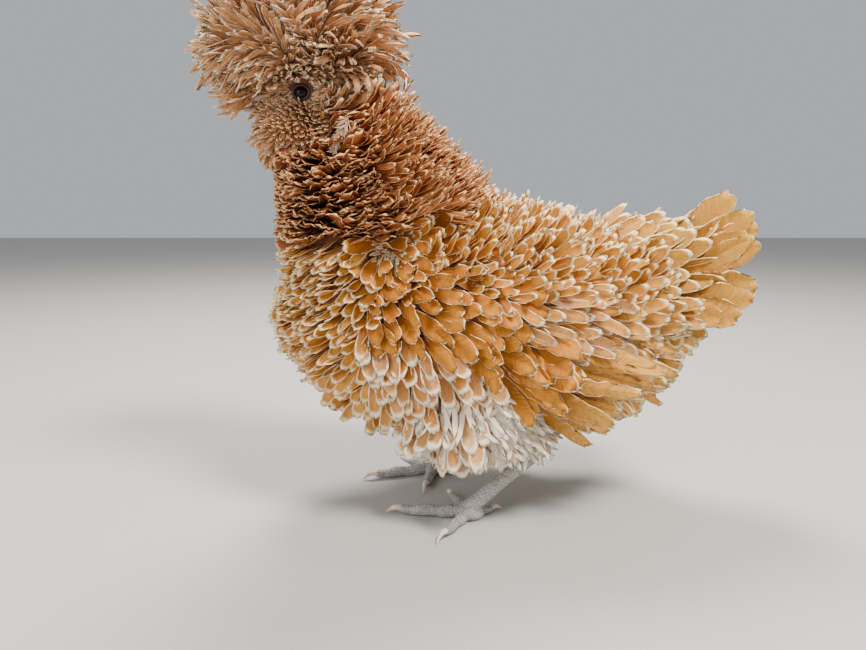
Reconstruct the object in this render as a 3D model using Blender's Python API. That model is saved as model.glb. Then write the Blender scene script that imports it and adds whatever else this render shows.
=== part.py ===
"""A crested, bearded hen with frizzled feathers, standing still, at life size.

The bird faces -X, its left side is at -Y, and +Z is up. Sizes are in millimetres and are
turned into metres where a mesh is made. Each named part of the body is one closed solid.
"""

import math

import bmesh
import bpy
import numpy as np
from mathutils import Matrix

MM = 0.001
GAP = 0.3
FAR = 400.0

# Places that the neighbouring parts share, as (x, z) in the plane of symmetry.
NAPE_LOW = (-150.0, 262.0)
NAPE_HIGH = (60.0, 374.7)
JAW_FRONT = (-161.0, 314.0)
JAW_BACK = (-53.1, 314.0)
BROW_FRONT = (-161.0, 338.0)
BROW_BACK = (-84.0, 346.0)
CHEEK = (-84.0, 314.0)
FRINGE_LOW = (-161.0, 302.0)
SHOULDER_FRONT = (-260.0, 181.0)
SHOULDER_BACK = (120.0, 286.0)
TAIL_TOP = (116.0, 300.0)
TAIL_LOW = (204.0, 60.0)
# A thigh's room is a wedge on its side of the body, as (x, z, least distance from the plane of symmetry).
THIGH_ROOM = [(-44, 120, 52), (-30, -10, 6), (96, -10, 6), (118, 120, 52)]
BILL_BASE = -127.0

# The outline of each part's room, seen from the side. Two rooms meet along a shared line.
ROOMS = {
    "crest": [(-260, 480), (-260, 302), FRINGE_LOW, BROW_FRONT, BROW_BACK, CHEEK, JAW_BACK, NAPE_HIGH,
              (60, 480)],
    "head": [BROW_FRONT, JAW_FRONT, CHEEK, BROW_BACK],
    "beard": [(-260, 302), (-260, 203), NAPE_LOW, JAW_BACK, CHEEK, JAW_FRONT, FRINGE_LOW],
    "neck": [NAPE_LOW, (-260, 203), SHOULDER_FRONT, SHOULDER_BACK, (120, 406), NAPE_HIGH, JAW_BACK],
    "torso": [SHOULDER_FRONT, (-260, -20), (233.3, -20), TAIL_LOW, TAIL_TOP, SHOULDER_BACK],
    "tail": [TAIL_TOP, TAIL_LOW, (233.3, -20), (340, -20), (340, 330), (105, 330)],
}

# Bodies of the parts under the feathers, as rows of (x, z, half height, half width).
TORSO = [(-106, 196, 6, 6), (-99, 192, 30, 27), (-76, 178, 54, 44), (-35, 162, 68, 56), (10, 152, 74, 62),
         (60, 146, 72, 62), (105, 146, 62, 52), (140, 156, 48, 38), (165, 168, 32, 24), (180, 176, 8, 8)]
NECK = [(-84, 338, 14, 14), (-80, 318, 24, 21), (-70, 288, 32, 29), (-58, 258, 42, 38), (-44, 226, 54, 48),
        (-32, 196, 58, 54)]
RUMP = [(120, 176, 38, 30), (150, 184, 32, 24), (176, 190, 22, 17), (190, 193, 12, 10), (196, 194, 3, 3)]
THIGH = [(28, 128, 40, 24), (32, 98, 44, 26), (48, 76, 34, 22), (64, 62, 20, 16), (74, 54, 8, 8)]
THIGH_Y = 44.0
CREST_CENTRE, CREST_RADII = (-104.0, 362.0), (30.0, 16.0, 22.0)
BEARD_CENTRE, BEARD_RADII = (-108.0, 304.0), (20.0, 16.0, 18.0)

# How thick the dense down over each body is, less than half of the coat's depth.
DOWN = {"torso": 10.0, "neck": 14.0, "rump": 6.0, "crest": 22.0, "beard": 11.0, "thigh": 6.0}

# The feathers of each region: spacing, length, width, first lift and added curl in degrees.
FEATHERS = {
    "crest": (25.0, 40.0, 26.0, 44.0, -4.0),
    "beard": (17.0, 21.0, 14.0, 32.0, 40.0),
    "neck": (30.0, 34.0, 26.0, 36.0, 46.0),
    "torso": (40.0, 42.0, 34.0, 30.0, 40.0),
    "rump": (36.0, 46.0, 27.0, 24.0, 16.0),
    "thigh": (32.0, 38.0, 25.0, 20.0, 24.0),
    "wing": (33.0, 43.0, 29.0, 12.0, 12.0),
}

# Where feathers are rooted: heights, lengths along the body, and half the parting between the thighs.
NECK_LOW, NECK_HIGH = 205.0, 345.0
SHOULDER_LINE, SHOULDER_BACK, BACK_RISE = 216.0, -10.0, 20.0
TORSO_END = 150.0
THIGH_LINE, THIGH_PARTING = 78.0, 14.0
THIGH_TOP, THIGH_BACK = 100.0, 78.0
RUMP_FEATHERS = (128.0, 162.0)
FEATHER_THICK = 1.9
SEED = 7
HEAD_CENTRE, HEAD_RADII = (-96.0, 332.0), (36.0, 21.0, 17.0)
EYE_CENTRE, EYE_RADIUS = (-101.0, 13.5, 331.2), 6.0
LID_RADIUS, LID_THICK, LID_Y = 5.6, 1.3, 16.6
MOUTH_Z, MOUTH_CORNER = 324.9, -116.0
NOSTRIL = (-139.0, 5.6, 332.6)

# Upper and lower bill: (x, z, half height, half width) from the base to the tip.
UPPER_BILL = [(-127.2, 331, 5.6, 8.2), (-137, 331.2, 5.4, 7.0), (-146, 329.2, 4.6, 5.2),
              (-152, 326.0, 3.4, 3.4),
              (-156, 321.8, 1.8, 1.6), (-157.2, 319.2, 0.5, 0.6)]
LOWER_BILL = [(-127.2, 321.2, 3.2, 7.4), (-138, 321.4, 2.9, 6.0), (-146, 321.0, 2.2, 4.2),
              (-151.5, 320.6, 0.8, 1.6)]

# The folded wing: its outline about WING_CENTRE, as (angle in degrees, reach).
WING_CENTRE = (45.0, 150.0)
WING_REACH = [(-160, 102), (-135, 84), (-110, 62), (-90, 56), (-65, 70), (-45, 112), (-30, 142),
              (-20, 150), (-8, 134), (10, 104), (35, 70), (60, 52), (90, 48), (115, 62), (140, 98),
              (160, 112), (180, 108), (200, 102)]
WING_BED = {"centre": (20.0, 150.0), "spread": (230.0, 130.0), "depth": 66.0}
WING_THICK = 11.0
WING_ROOM_FACE = 170.0
WING_EDGE, WING_BODY = 12.0, 72.0

# Flight feathers of the wing: first and last root as (x, z), first and last slope, length and width.
WING_ROLL = 14.0
FLIGHT_BEND = (3.0, 3.0)
SECONDARIES = {"count": 7, "roots": ((28, 168), (66, 118)), "slopes": (-14, -30), "lengths": (112, 98),
               "width": 22.0}
PRIMARIES = {"count": 5, "roots": ((36, 108), (-6, 96)), "slopes": (-13, -2), "lengths": (142, 140),
             "width": 16.0}

# Tail feathers of each side from the top one down: slope in degrees, length and distance from the middle.
TAIL_ROOT = (170.0, 188.0)
TAIL_TIERS = [(34, 108, 3.5), (25, 110, 7.5), (15, 105, 12), (4, 100, 16), (-8, 92, 20), (-21, 84, 24)]
TAIL_WIDTH = 25.0

# Feet: where each sole is, which way it points, and each toe's turn, length and thickness.
SOLES = {"left": (28.0, -50.0), "right": (0.0, 42.0)}
HEADINGS = {"left": 174.0, "right": 196.0}
HOCK_RISE, HOCK_BACK = 58.0, 56.0
TOES = [("middle", 0.0, 54.0, 4.8), ("outer", 66.0, 38.0, 4.2), ("inner", -64.0, 36.0, 4.2),
        ("hind", -150.0, 22.0, 3.6)]
CLAW_LENGTH, CLAW_DROP = 13.0, 5.0
SHANK_RADIUS = 6.0

COLOURS = {
    "buff": ((0.62, 0.31, 0.11), 0.75),
    "face": ((0.30, 0.16, 0.12), 0.7),
    "horn": ((0.74, 0.62, 0.48), 0.4),
    "eye": ((0.02, 0.015, 0.015), 0.08),
    "shank": ((0.33, 0.35, 0.37), 0.5),
}


def clear_scene():
    for thing in list(bpy.data.objects):
        bpy.data.objects.remove(thing)


def material(name):
    found = bpy.data.materials.get(name)
    if found:
        return found
    colour, roughness = COLOURS[name]
    made = bpy.data.materials.new(name)
    made.use_nodes = True
    shader = made.node_tree.nodes["Principled BSDF"]
    shader.inputs["Base Color"].default_value = (*colour, 1.0)
    shader.inputs["Roughness"].default_value = roughness
    shader.inputs["Metallic"].default_value = 0.0
    return made


def volume_of(points, triangles):
    a, b, c = (points[triangles[:, k]] for k in range(3))
    return float(np.einsum("ij,ij->i", a, np.cross(b, c)).sum()) / 6


def add_mesh(name, points, triangles, colour="buff"):
    """An object from points in millimetres, with its faces turned outwards."""
    points, triangles = np.asarray(points, float), np.asarray(triangles, int)
    if volume_of(points, triangles) < 0:
        triangles = triangles[:, ::-1]
    mesh = bpy.data.meshes.new(name)
    mesh.from_pydata((points * MM).tolist(), [], triangles.tolist())
    mesh.materials.append(material(colour))
    made = bpy.data.objects.new(name, mesh)
    bpy.context.scene.collection.objects.link(made)
    return made


def boolean(base, others, operation):
    """Joins, cuts or keeps the base with the others, applies it and removes the others."""
    if not others:
        return base
    group = bpy.data.collections.new("pieces")
    bpy.context.scene.collection.children.link(group)
    for piece in others:
        bpy.context.scene.collection.objects.unlink(piece)
        group.objects.link(piece)
    step = base.modifiers.new("join", "BOOLEAN")
    step.operation = operation
    step.operand_type = "COLLECTION"
    step.collection = group
    step.solver = "MANIFOLD"
    graph = bpy.context.evaluated_depsgraph_get()
    result = bpy.data.meshes.new_from_object(base.evaluated_get(graph))
    base.modifiers.clear()
    base.data = result
    for piece in others:
        bpy.data.objects.remove(piece)
    bpy.data.collections.remove(group)
    return base


def keep_largest(thing):
    """Leaves only the largest closed surface of an object."""
    work = bmesh.new()
    work.from_mesh(thing.data)
    bmesh.ops.triangulate(work, faces=work.faces)
    work.faces.ensure_lookup_table()
    seen, shells = set(), []
    for face in work.faces:
        if face in seen:
            continue
        shell, queue = [], [face]
        seen.add(face)
        while queue:
            at = queue.pop()
            shell.append(at)
            for edge in at.edges:
                for near in edge.link_faces:
                    if near not in seen:
                        seen.add(near)
                        queue.append(near)
        shells.append(shell)
    shells.sort(key=lambda faces: -sum(face.calc_area() for face in faces))
    loose = [face for shell in shells[1:] for face in shell]
    bmesh.ops.delete(work, geom=loose, context="FACES")
    work.to_mesh(thing.data)
    work.free()
    return thing


def smooth_rows(rows, places):
    """Rows read at places from 0 to 1 along a smooth curve through all of them."""
    rows = np.asarray(rows, float)
    rows = np.vstack([2 * rows[0] - rows[1], rows, 2 * rows[-1] - rows[-2]])
    last = len(rows) - 4
    at = np.clip(np.asarray(places, float), 0, 1) * (last + 1)
    i = np.minimum(at.astype(int), last)
    t = (at - i)[..., None]
    a, b, c, d = rows[i], rows[i + 1], rows[i + 2], rows[i + 3]
    return 0.5 * (2 * b + (c - a) * t + (2 * a - 5 * b + 4 * c - d) * t**2 + (3 * b - a - 3 * c + d) * t**3)


class Form:
    """A rounded body along a line in the plane of symmetry, shifted sideways by y."""

    def __init__(self, rows, y=0.0, grow=0.0):
        self.rows = np.asarray(rows, float) + (0, 0, grow, grow)
        self.y = y

    def point(self, u, v):
        """The point at u from 0 to 1 along the body and v turns round it, from its -Y side over the top."""
        u, v = np.broadcast_arrays(np.asarray(u, float), np.asarray(v, float))
        here, ahead, behind = (smooth_rows(self.rows, u + step) for step in (0, 0.01, -0.01))
        way = ahead[..., :2] - behind[..., :2]
        way /= np.linalg.norm(way, axis=-1, keepdims=True)
        up = np.stack([-way[..., 1], way[..., 0]], -1)
        turn = 2 * math.pi * v
        rise = here[..., 2] * np.sin(turn)
        across = -here[..., 3] * np.cos(turn)
        x, z = here[..., 0] + up[..., 0] * rise, here[..., 1] + up[..., 1] * rise
        return np.stack([x, self.y + across, z], -1)

    def frame(self, u, v):
        """The point, the way out of the surface and the way along it towards greater u."""
        at = self.point(u, v)
        along = self.point(u + 0.01, v) - self.point(u - 0.01, v)
        around = self.point(u, v + 0.01) - self.point(u, v - 0.01)
        out = np.cross(along, around)
        out /= np.linalg.norm(out)
        centre = smooth_rows(self.rows, u)
        if out @ (at - (centre[0], self.y, centre[1])) < 0:
            out = -out
        along -= out * (along @ out)
        return at, out, along / np.linalg.norm(along)

    def solid(self, name, rings=14, sides=20, colour="buff"):
        u, v = np.linspace(0, 1, rings), np.arange(sides) / sides
        grid = self.point(u[:, None], v[None, :]).reshape(-1, 3)
        return add_mesh(name, *closed_tube(grid, rings, sides), colour)


def closed_tube(grid, rings, sides):
    """Rings of points made a closed surface, with a fan over each end."""
    first, last = grid[:sides].mean(0), grid[-sides:].mean(0)
    points = np.vstack([grid, first, last])
    i, j = np.meshgrid(np.arange(rings - 1), np.arange(sides), indexing="ij")
    a, b = i * sides + j, i * sides + (j + 1) % sides
    c, d = a + sides, b + sides
    walls = np.vstack([np.stack([a, b, d], -1).reshape(-1, 3), np.stack([a, d, c], -1).reshape(-1, 3)])
    k = np.arange(sides)
    near = np.stack([np.full(sides, rings * sides), (k + 1) % sides, k], -1)
    base = (rings - 1) * sides
    end = np.stack([np.full(sides, rings * sides + 1), base + k, base + (k + 1) % sides], -1)
    return points, np.vstack([walls, near, end])


def ovoid(centre, radii, lean=0.0, grow=0.0):
    """Rows of a rounded body with its long axis tipped by lean degrees in the plane of symmetry."""
    t = np.linspace(-0.995, 0.995, 9)
    size = np.sqrt(1 - t**2)
    length = (radii[0] + grow) * t
    tip = math.radians(lean)
    return np.stack([centre[0] + length * math.cos(tip), centre[1] + length * math.sin(tip),
                     (radii[1] + grow) * size, (radii[2] + grow) * size], -1)


def inset(outline, by):
    """A closed outline with every side moved inwards by the same amount."""
    points = np.asarray(outline, float)
    turn = np.roll(points, -1, 0) - points
    area = np.cross(points, np.roll(points, -1, 0)).sum()
    normal = np.stack([-turn[:, 1], turn[:, 0]], -1) / np.linalg.norm(turn, axis=1)[:, None]
    normal *= np.sign(area)
    before = np.roll(normal, 1, 0)
    return points + by * (before + normal) / (1 + (before * normal).sum(1))[:, None]


def prism(name, outline, y_low, y_high):
    """A closed block with an outline in x and z, from y_low to y_high."""
    count = len(outline)
    work = bmesh.new()
    rim = [work.verts.new((x * MM, y_low * MM, z * MM)) for x, z in outline]
    face = work.faces.new(rim)
    sweep = bmesh.ops.extrude_face_region(work, geom=[face])
    lifted = [part for part in sweep["geom"] if isinstance(part, bmesh.types.BMVert)]
    bmesh.ops.translate(work, verts=lifted, vec=(0, (y_high - y_low) * MM, 0))
    bmesh.ops.triangulate(work, faces=work.faces)
    bmesh.ops.recalc_face_normals(work, faces=work.faces)
    mesh = bpy.data.meshes.new(name)
    work.to_mesh(mesh)
    work.free()
    assert len(mesh.vertices) == 2 * count
    made = bpy.data.objects.new(name, mesh)
    bpy.context.scene.collection.objects.link(made)
    return made


def room(part, y_low=-FAR, y_high=FAR):
    return prism("room", inset(ROOMS[part], GAP / 2), y_low, y_high)


def wing_bed(x, z):
    """How far from the plane of symmetry the wing's inner face lies."""
    across = ((x - WING_BED["centre"][0]) / WING_BED["spread"][0]) ** 2
    height = ((z - WING_BED["centre"][1]) / WING_BED["spread"][1]) ** 2
    return WING_BED["depth"] * np.sqrt(np.clip(1 - across - height, 0.05, 1))


def wing_reach(angle):
    angles, reaches = zip(*WING_REACH)
    return np.interp((angle + 160) % 360 - 160, angles, reaches, period=360)


def core_reach(angle):
    """How far the wing's own body reaches, inside the tips of its feathers, and shorter behind."""
    reach = wing_reach(angle) - WING_EDGE
    return np.where(np.cos(np.radians(angle)) > 0, np.minimum(reach, WING_BODY), reach)


def wing_block(name, side, low, high, reach_of, rings=3, sectors=20):
    """A slab over a wing outline. low and high give |y| from x, z and the share of the reach."""
    share = np.linspace(1.0 / rings, 1, rings)[:, None]
    angle = (np.arange(sectors) * 360.0 / sectors)[None, :]
    reach = reach_of(angle) * share
    x = WING_CENTRE[0] + reach * np.cos(np.radians(angle))
    z = WING_CENTRE[1] + reach * np.sin(np.radians(angle))
    spread = np.broadcast_to(share, x.shape)
    sheets = []
    for level in (low, high):
        rim = np.stack([x, side * level(x, z, spread), z], -1).reshape(-1, 3)
        middle = [WING_CENTRE[0], side * level(*WING_CENTRE, 0.0), WING_CENTRE[1]]
        sheets.append(np.vstack([rim, middle]))
    size = rings * sectors
    k, n = np.arange(sectors), (np.arange(sectors) + 1) % sectors
    sheet = [np.stack([np.full(sectors, size), k, n], -1)]
    for ring in range(rings - 1):
        a, b = ring * sectors + k, ring * sectors + n
        c, d = a + sectors, b + sectors
        sheet += [np.stack([a, c, d], -1), np.stack([a, d, b], -1)]
    sheet = np.vstack(sheet)
    edge = (rings - 1) * sectors
    top = size + 1
    wall = np.vstack([np.stack([edge + k, edge + n, edge + n + top], -1),
                      np.stack([edge + k, edge + n + top, edge + k + top], -1)])
    return add_mesh(name, np.vstack(sheets), np.vstack([sheet[:, ::-1], sheet + top, wall]))


def wing_room(side, grow):
    return wing_block("wing_room", side, lambda x, z, s: wing_bed(x, z) - grow,
                      lambda x, z, s: 0 * x + WING_ROOM_FACE, lambda angle: wing_reach(angle) + grow)


def thigh_room(side, grow):
    """A wedge that leans out from between the legs to the side of the body."""
    outline = inset([row[:2] for row in THIGH_ROOM], -grow)
    inner = [max(row[2] - grow, GAP / 2) for row in THIGH_ROOM]
    points = [(x, side * y, z) for (x, z), y in zip(outline, inner)]
    points += [(x, side * FAR, z) for x, z in outline]
    sides = [(k, (k + 1) % 4, 4 + (k + 1) % 4, 4 + k) for k in range(4)]
    quads = [(3, 2, 1, 0), (4, 5, 6, 7)] + sides
    triangles = [corner for a, b, c, d in quads for corner in ((a, b, c), (a, c, d))]
    return add_mesh("thigh_room", points, triangles)


def inside(part, x, z):
    """Whether a place seen from the side is in a part's room."""
    crossings = 0
    corners = ROOMS[part]
    for (x1, z1), (x2, z2) in zip(corners, corners[1:] + corners[:1]):
        if (z1 > z) != (z2 > z):
            crossings += x < x1 + (z - z1) * (x2 - x1) / (z2 - z1)
    return crossings % 2 == 1


def spread(form, spacing):
    """Points in staggered rows over a form, each with its way out and its way along the form."""
    top = form.point(np.linspace(0, 1, 30), 0.25)
    rows = round(np.linalg.norm(np.diff(top, axis=0), axis=1).sum() / spacing)
    for row in range(rows):
        u = (row + 0.5) / rows
        ring = form.point(u, np.linspace(0, 1, 30))
        count = max(3, round(np.linalg.norm(np.diff(ring, axis=0), axis=1).sum() / spacing))
        for k in range(count):
            yield form.frame(u, (k + 0.5 * (row % 2)) / count)


def feather(root, way, out, length, width, lift, curl, pointed=0.0, roll=0.0):
    """A tapered vane that leaves the surface at a lift angle and curls away from it, sunk in at its root.

    A roll in degrees turns it about its shaft, so that its neighbours lie over one another like tiles."""
    way = way - out * (way @ out)
    way /= np.linalg.norm(way)
    out = out * math.cos(math.radians(roll)) + np.cross(way, out) * math.sin(math.radians(roll))
    side = np.cross(way, out)
    share = np.array([-9.0 / length, 0.36, 0.74, 1.0])
    breadth = width / 2 * np.array([0.4, 0.9, 1.0 - 0.3 * pointed, 0.32 - 0.15 * pointed])
    middle = (share[1:] + share[:-1]) / 2
    angle = np.radians(lift + curl * np.concatenate([[share[0]], middle]))
    step = np.diff(share, prepend=0.0)[:, None] * length
    path = root + np.cumsum(step * (np.cos(angle)[:, None] * way + np.sin(angle)[:, None] * out), axis=0)
    tilt = np.radians(lift + curl * share)[:, None]
    face = np.cos(tilt) * out - np.sin(tilt) * way
    thick = FEATHER_THICK * np.array([1.0, 1.0, 0.9, 0.5])[:, None]
    across = side * breadth[:, None]
    points = np.stack([path - across, path + face * thick, path + across], 1)
    triangles = [(0, 2, 1), (9, 10, 11)]
    for i in (0, 3, 6):
        for edge, order in ((0, 1), (2, -1)):
            a, b, c, d = i + edge, i + 1, i + 4, i + 3 + edge
            triangles += [(a, b, c)[::order], (a, c, d)[::order]]
        triangles += [(i, i + 3, i + 5), (i, i + 5, i + 2)]
    return add_mesh("feather", points.reshape(-1, 3), triangles)


def plumage(form, region, draw, lie, keep):
    """Feathers all over a form, laid along the way that lie gives, where keep allows one."""
    spacing, length, width, lift, curl = FEATHERS[region]
    grown = []
    for at, out, along in spread(form, spacing):
        if not keep(at, out):
            continue
        way = lie(at, out, along) + draw.normal(0, 0.08, 3)
        size = draw.uniform(0.88, 1.14)
        broad = width * draw.uniform(0.9, 1.1)
        grown.append(feather(at, way, out, length * size, broad, lift + draw.normal(0, 4),
                             curl + draw.normal(0, 7)))
    return grown


def down_and_back(at, out, along):
    """The lie of body feathers: back along the body, and downwards low on its sides."""
    return along + np.array([0, 0, -0.9]) * (1 - max(out[2], 0))


def away_from_crown(at, out, along):
    """The lie of crest feathers: out on all sides from the crown."""
    return at - (CREST_CENTRE[0] - 6, 0, CREST_CENTRE[1] + 30)


def over_wing(at):
    """Whether a place on the body's side is under the wing."""
    x, z = at[0] - WING_CENTRE[0], at[2] - WING_CENTRE[1]
    return math.hypot(x, z) < wing_reach(math.degrees(math.atan2(z, x))) - 4 and abs(at[1]) > 40


def on_neck(at, out):
    """Where neck feathers are rooted: over the shoulders, under the crest and outside the beard."""
    return NECK_LOW < at[2] < NECK_HIGH and not inside("beard", at[0], at[2])


def on_torso(at, out):
    """Where body feathers are rooted: outside the wings, the tail and the room for the thighs."""
    below_neck = at[2] < SHOULDER_LINE + BACK_RISE * (at[0] > SHOULDER_BACK)
    between_thighs = at[2] >= THIGH_LINE or abs(at[1]) <= THIGH_PARTING
    return below_neck and not over_wing(at) and at[0] < TORSO_END and between_thighs


def tail_fan(draw):
    """The long tail feathers in tiers, each side's lower ones outside the upper ones."""
    fan = []
    for side in (-1, 1):
        for slope, length, offset in TAIL_TIERS:
            turn = math.radians(slope + draw.normal(0, 1.5) + side)
            splay = side * offset * 0.012
            way = np.array([math.cos(turn), splay, math.sin(turn)])
            out = np.array([-0.35 * math.sin(turn), side * 0.9, 0.35 * math.cos(turn)])
            out = out - way * (way @ out) / (way @ way)
            root = np.array([TAIL_ROOT[0] + side, side * offset, TAIL_ROOT[1] - offset * 0.9])
            reach = length * draw.uniform(0.95, 1.03)
            fan.append(feather(root, way, out / np.linalg.norm(out), reach, TAIL_WIDTH, 1, 10))
    return fan


def body_pieces(draw):
    """The down and the feathers of everything under the head."""
    neck, rump = Form(NECK, grow=DOWN["neck"]), Form(RUMP, grow=DOWN["rump"])
    torso = Form(TORSO, grow=DOWN["torso"])
    pieces = [neck.solid("neck", 8, 16), rump.solid("rump", 7, 14)]
    pieces += plumage(neck, "neck", draw, lambda at, out, along: along, on_neck)
    pieces += plumage(torso, "torso", draw, down_and_back, on_torso)
    pieces += plumage(rump, "rump", draw, lambda at, out, along: along,
                      lambda at, out: RUMP_FEATHERS[0] < at[0] < RUMP_FEATHERS[1])
    pieces += tail_fan(draw)
    for side in (-1, 1):
        thigh = Form(THIGH, y=side * THIGH_Y, grow=DOWN["thigh"])
        pieces.append(thigh.solid("thigh", 7, 12))
        pieces += plumage(thigh, "thigh", draw, lambda at, out, along: along + np.array([-0.5, 0, -0.9]),
                          lambda at, out: at[2] < THIGH_TOP and at[0] < THIGH_BACK)
    return pieces


def make_body(name, cuts):
    """The whole body under the head, with what the cuts leave of it."""
    body = Form(TORSO, grow=DOWN["torso"]).solid(name, 13, 18)
    boolean(body, body_pieces(np.random.default_rng(SEED)), "UNION")
    for operation, cutters in cuts:
        boolean(body, cutters, operation)
    return keep_largest(body)


def make_body_parts():
    for name in ("neck", "torso", "tail"):
        wings = [wing_room(side, GAP / 2) for side in (-1, 1)]
        thighs = [thigh_room(side, GAP / 2) for side in (-1, 1)]
        make_body(name, [("INTERSECT", [room(name)]), ("DIFFERENCE", wings + thighs)])
    for side, foot in ((-1, "left"), (1, "right")):
        make_body(f"thigh_{foot}", [("INTERSECT", [room("torso")]),
                                    ("INTERSECT", [thigh_room(side, -GAP / 2)]),
                                    ("DIFFERENCE", [wing_room(side, GAP / 2), shank_hollow(foot)])])


def make_ruff(name, centre, radii, lie, keep):
    """The crest or the beard, with the end of the neck in its room."""
    form = Form(ovoid(centre, radii, grow=DOWN[name]))
    ruff = form.solid(name, 10, 16)
    nape = Form(NECK, grow=DOWN["neck"]).solid("nape", 8, 16)
    boolean(ruff, [nape] + plumage(form, name, np.random.default_rng(SEED), lie, keep), "UNION")
    return keep_largest(boolean(ruff, [room(name)], "INTERSECT"))


def make_head():
    head = Form(ovoid(HEAD_CENTRE, HEAD_RADII)).solid("head", 8, 14, "face")
    lids = []
    for side in (-1, 1):
        angle = np.linspace(0, 2 * math.pi, 11)
        rim = np.stack([np.cos(angle), 0 * angle, 0.86 * np.sin(angle)], -1) * LID_RADIUS
        lids.append(ring("lid", rim + (EYE_CENTRE[0], side * LID_Y, EYE_CENTRE[2]), LID_THICK))
    boolean(head, lids, "UNION")
    boolean(head, [room("head")], "INTERSECT")
    front = [(BILL_BASE, 250), (BILL_BASE, 420), (-FAR, 420), (-FAR, 250)]
    low, high = MOUTH_Z - 0.5, MOUTH_Z + 0.5
    mouth = [(-FAR, low), (MOUTH_CORNER, low), (MOUTH_CORNER, high), (-FAR, high)]
    cuts = [prism("front", front, -FAR, FAR), prism("mouth", mouth, -FAR, FAR)]
    cuts += [ball("socket", side, EYE_RADIUS + GAP) for side in (-1, 1)]
    return keep_largest(boolean(head, cuts, "DIFFERENCE"))


def ring(name, path, radius, sides=4):
    """A closed ring of small round section round a path in an upright plane."""
    path = path[:-1]
    count = len(path)
    centre = path.mean(0)
    out = path - centre
    out /= np.linalg.norm(out, axis=1)[:, None]
    turn = 2 * math.pi * np.arange(sides) / sides
    grid = path[:, None] + radius * (np.cos(turn)[None, :, None] * out[:, None]
                                     + np.sin(turn)[None, :, None] * np.array([0, 1.0, 0]))
    i, j = np.meshgrid(np.arange(count), np.arange(sides), indexing="ij")
    a, b = i * sides + j, i * sides + (j + 1) % sides
    c, d = (i + 1) % count * sides + j, (i + 1) % count * sides + (j + 1) % sides
    walls = np.vstack([np.stack([a, b, d], -1).reshape(-1, 3), np.stack([a, d, c], -1).reshape(-1, 3)])
    return add_mesh(name, grid.reshape(-1, 3), walls, "face")


def ball(name, side, radius):
    work = bmesh.new()
    bmesh.ops.create_icosphere(work, subdivisions=2, radius=radius * MM)
    x, y, z = EYE_CENTRE
    bmesh.ops.translate(work, verts=work.verts, vec=(x * MM, side * y * MM, z * MM))
    mesh = bpy.data.meshes.new(name)
    work.to_mesh(mesh)
    work.free()
    mesh.materials.append(material("eye"))
    made = bpy.data.objects.new(name, mesh)
    bpy.context.scene.collection.objects.link(made)
    return made


def wing_skin(x, z):
    """How far from the plane of symmetry the wing's down lies under its feathers."""
    reach = core_reach(np.degrees(np.arctan2(z - WING_CENTRE[1], x - WING_CENTRE[0])))
    share = np.hypot(x - WING_CENTRE[0], z - WING_CENTRE[1]) / reach
    return wing_bed(x, z) + 2.5 + WING_THICK * (1 - np.clip(share, 0, 1) ** 3)


def wing_feather(side, x, z, slope, length, width, lift, curl, pointed=0.0, roll=0.0):
    """A feather on the wing's outer face, with its slope seen from the side. A roll lifts its lower edge."""
    step = 1.0
    here = np.array([x, side * wing_skin(x, z), z])
    across = np.array([step, side * (wing_skin(x + step, z) - wing_skin(x, z)), 0])
    upward = np.array([0, side * (wing_skin(x, z + step) - wing_skin(x, z)), step])
    out = np.cross(across, upward) * -side
    out /= np.linalg.norm(out)
    turn = math.radians(slope)
    way = np.array([math.cos(turn), 0, math.sin(turn)])
    outward = out * np.sign(out[1] * side)
    return feather(here, way, outward, length, width, lift, curl, pointed, roll * side)


def flight_feathers(side, rank, draw):
    grown = []
    (x1, z1), (x2, z2) = rank["roots"]
    for k in range(rank["count"]):
        share = k / (rank["count"] - 1)
        slope = np.interp(share, (0, 1), rank["slopes"]) + draw.normal(0, 0.7)
        length = np.interp(share, (0, 1), rank["lengths"]) * draw.uniform(0.95, 1.03)
        x, z = x1 + (x2 - x1) * share, z1 + (z2 - z1) * share
        grown.append(wing_feather(side, x, z, slope, length, rank["width"], *FLIGHT_BEND, 0.4, WING_ROLL))
    return grown


def make_wing(name, side):
    draw = np.random.default_rng(SEED + side)
    wing = wing_block(name, side, lambda x, z, s: wing_bed(x, z) - 5,
                      lambda x, z, s: wing_bed(x, z) + 2.5 + WING_THICK * (1 - s**3), core_reach)
    spacing, length, width, lift, curl = FEATHERS["wing"]
    pieces = flight_feathers(side, PRIMARIES, draw) + flight_feathers(side, SECONDARIES, draw)
    for row, x in enumerate(np.arange(-50.0, 60.0, spacing)):
        for z in np.arange(102.0 + spacing / 2 * (row % 2) + max(x, 0), 215.0, spacing):
            turn = math.degrees(math.atan2(z - WING_CENTRE[1], x - WING_CENTRE[0]))
            if math.hypot(x - WING_CENTRE[0], z - WING_CENTRE[1]) > core_reach(turn) - 2:
                continue
            slope = -12 - (x + 50) * 0.14 + draw.normal(0, 5)
            size = draw.uniform(0.9, 1.1)
            turned = curl + draw.normal(0, 4)
            pieces.append(wing_feather(side, x, z, slope, length * size, width * size, lift, turned))
    boolean(wing, pieces, "UNION")
    return keep_largest(boolean(wing, [wing_room(side, -GAP / 2)], "INTERSECT"))


def hock_of(foot):
    x, y = SOLES[foot]
    return np.array([x + HOCK_BACK, y, HOCK_RISE])


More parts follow.
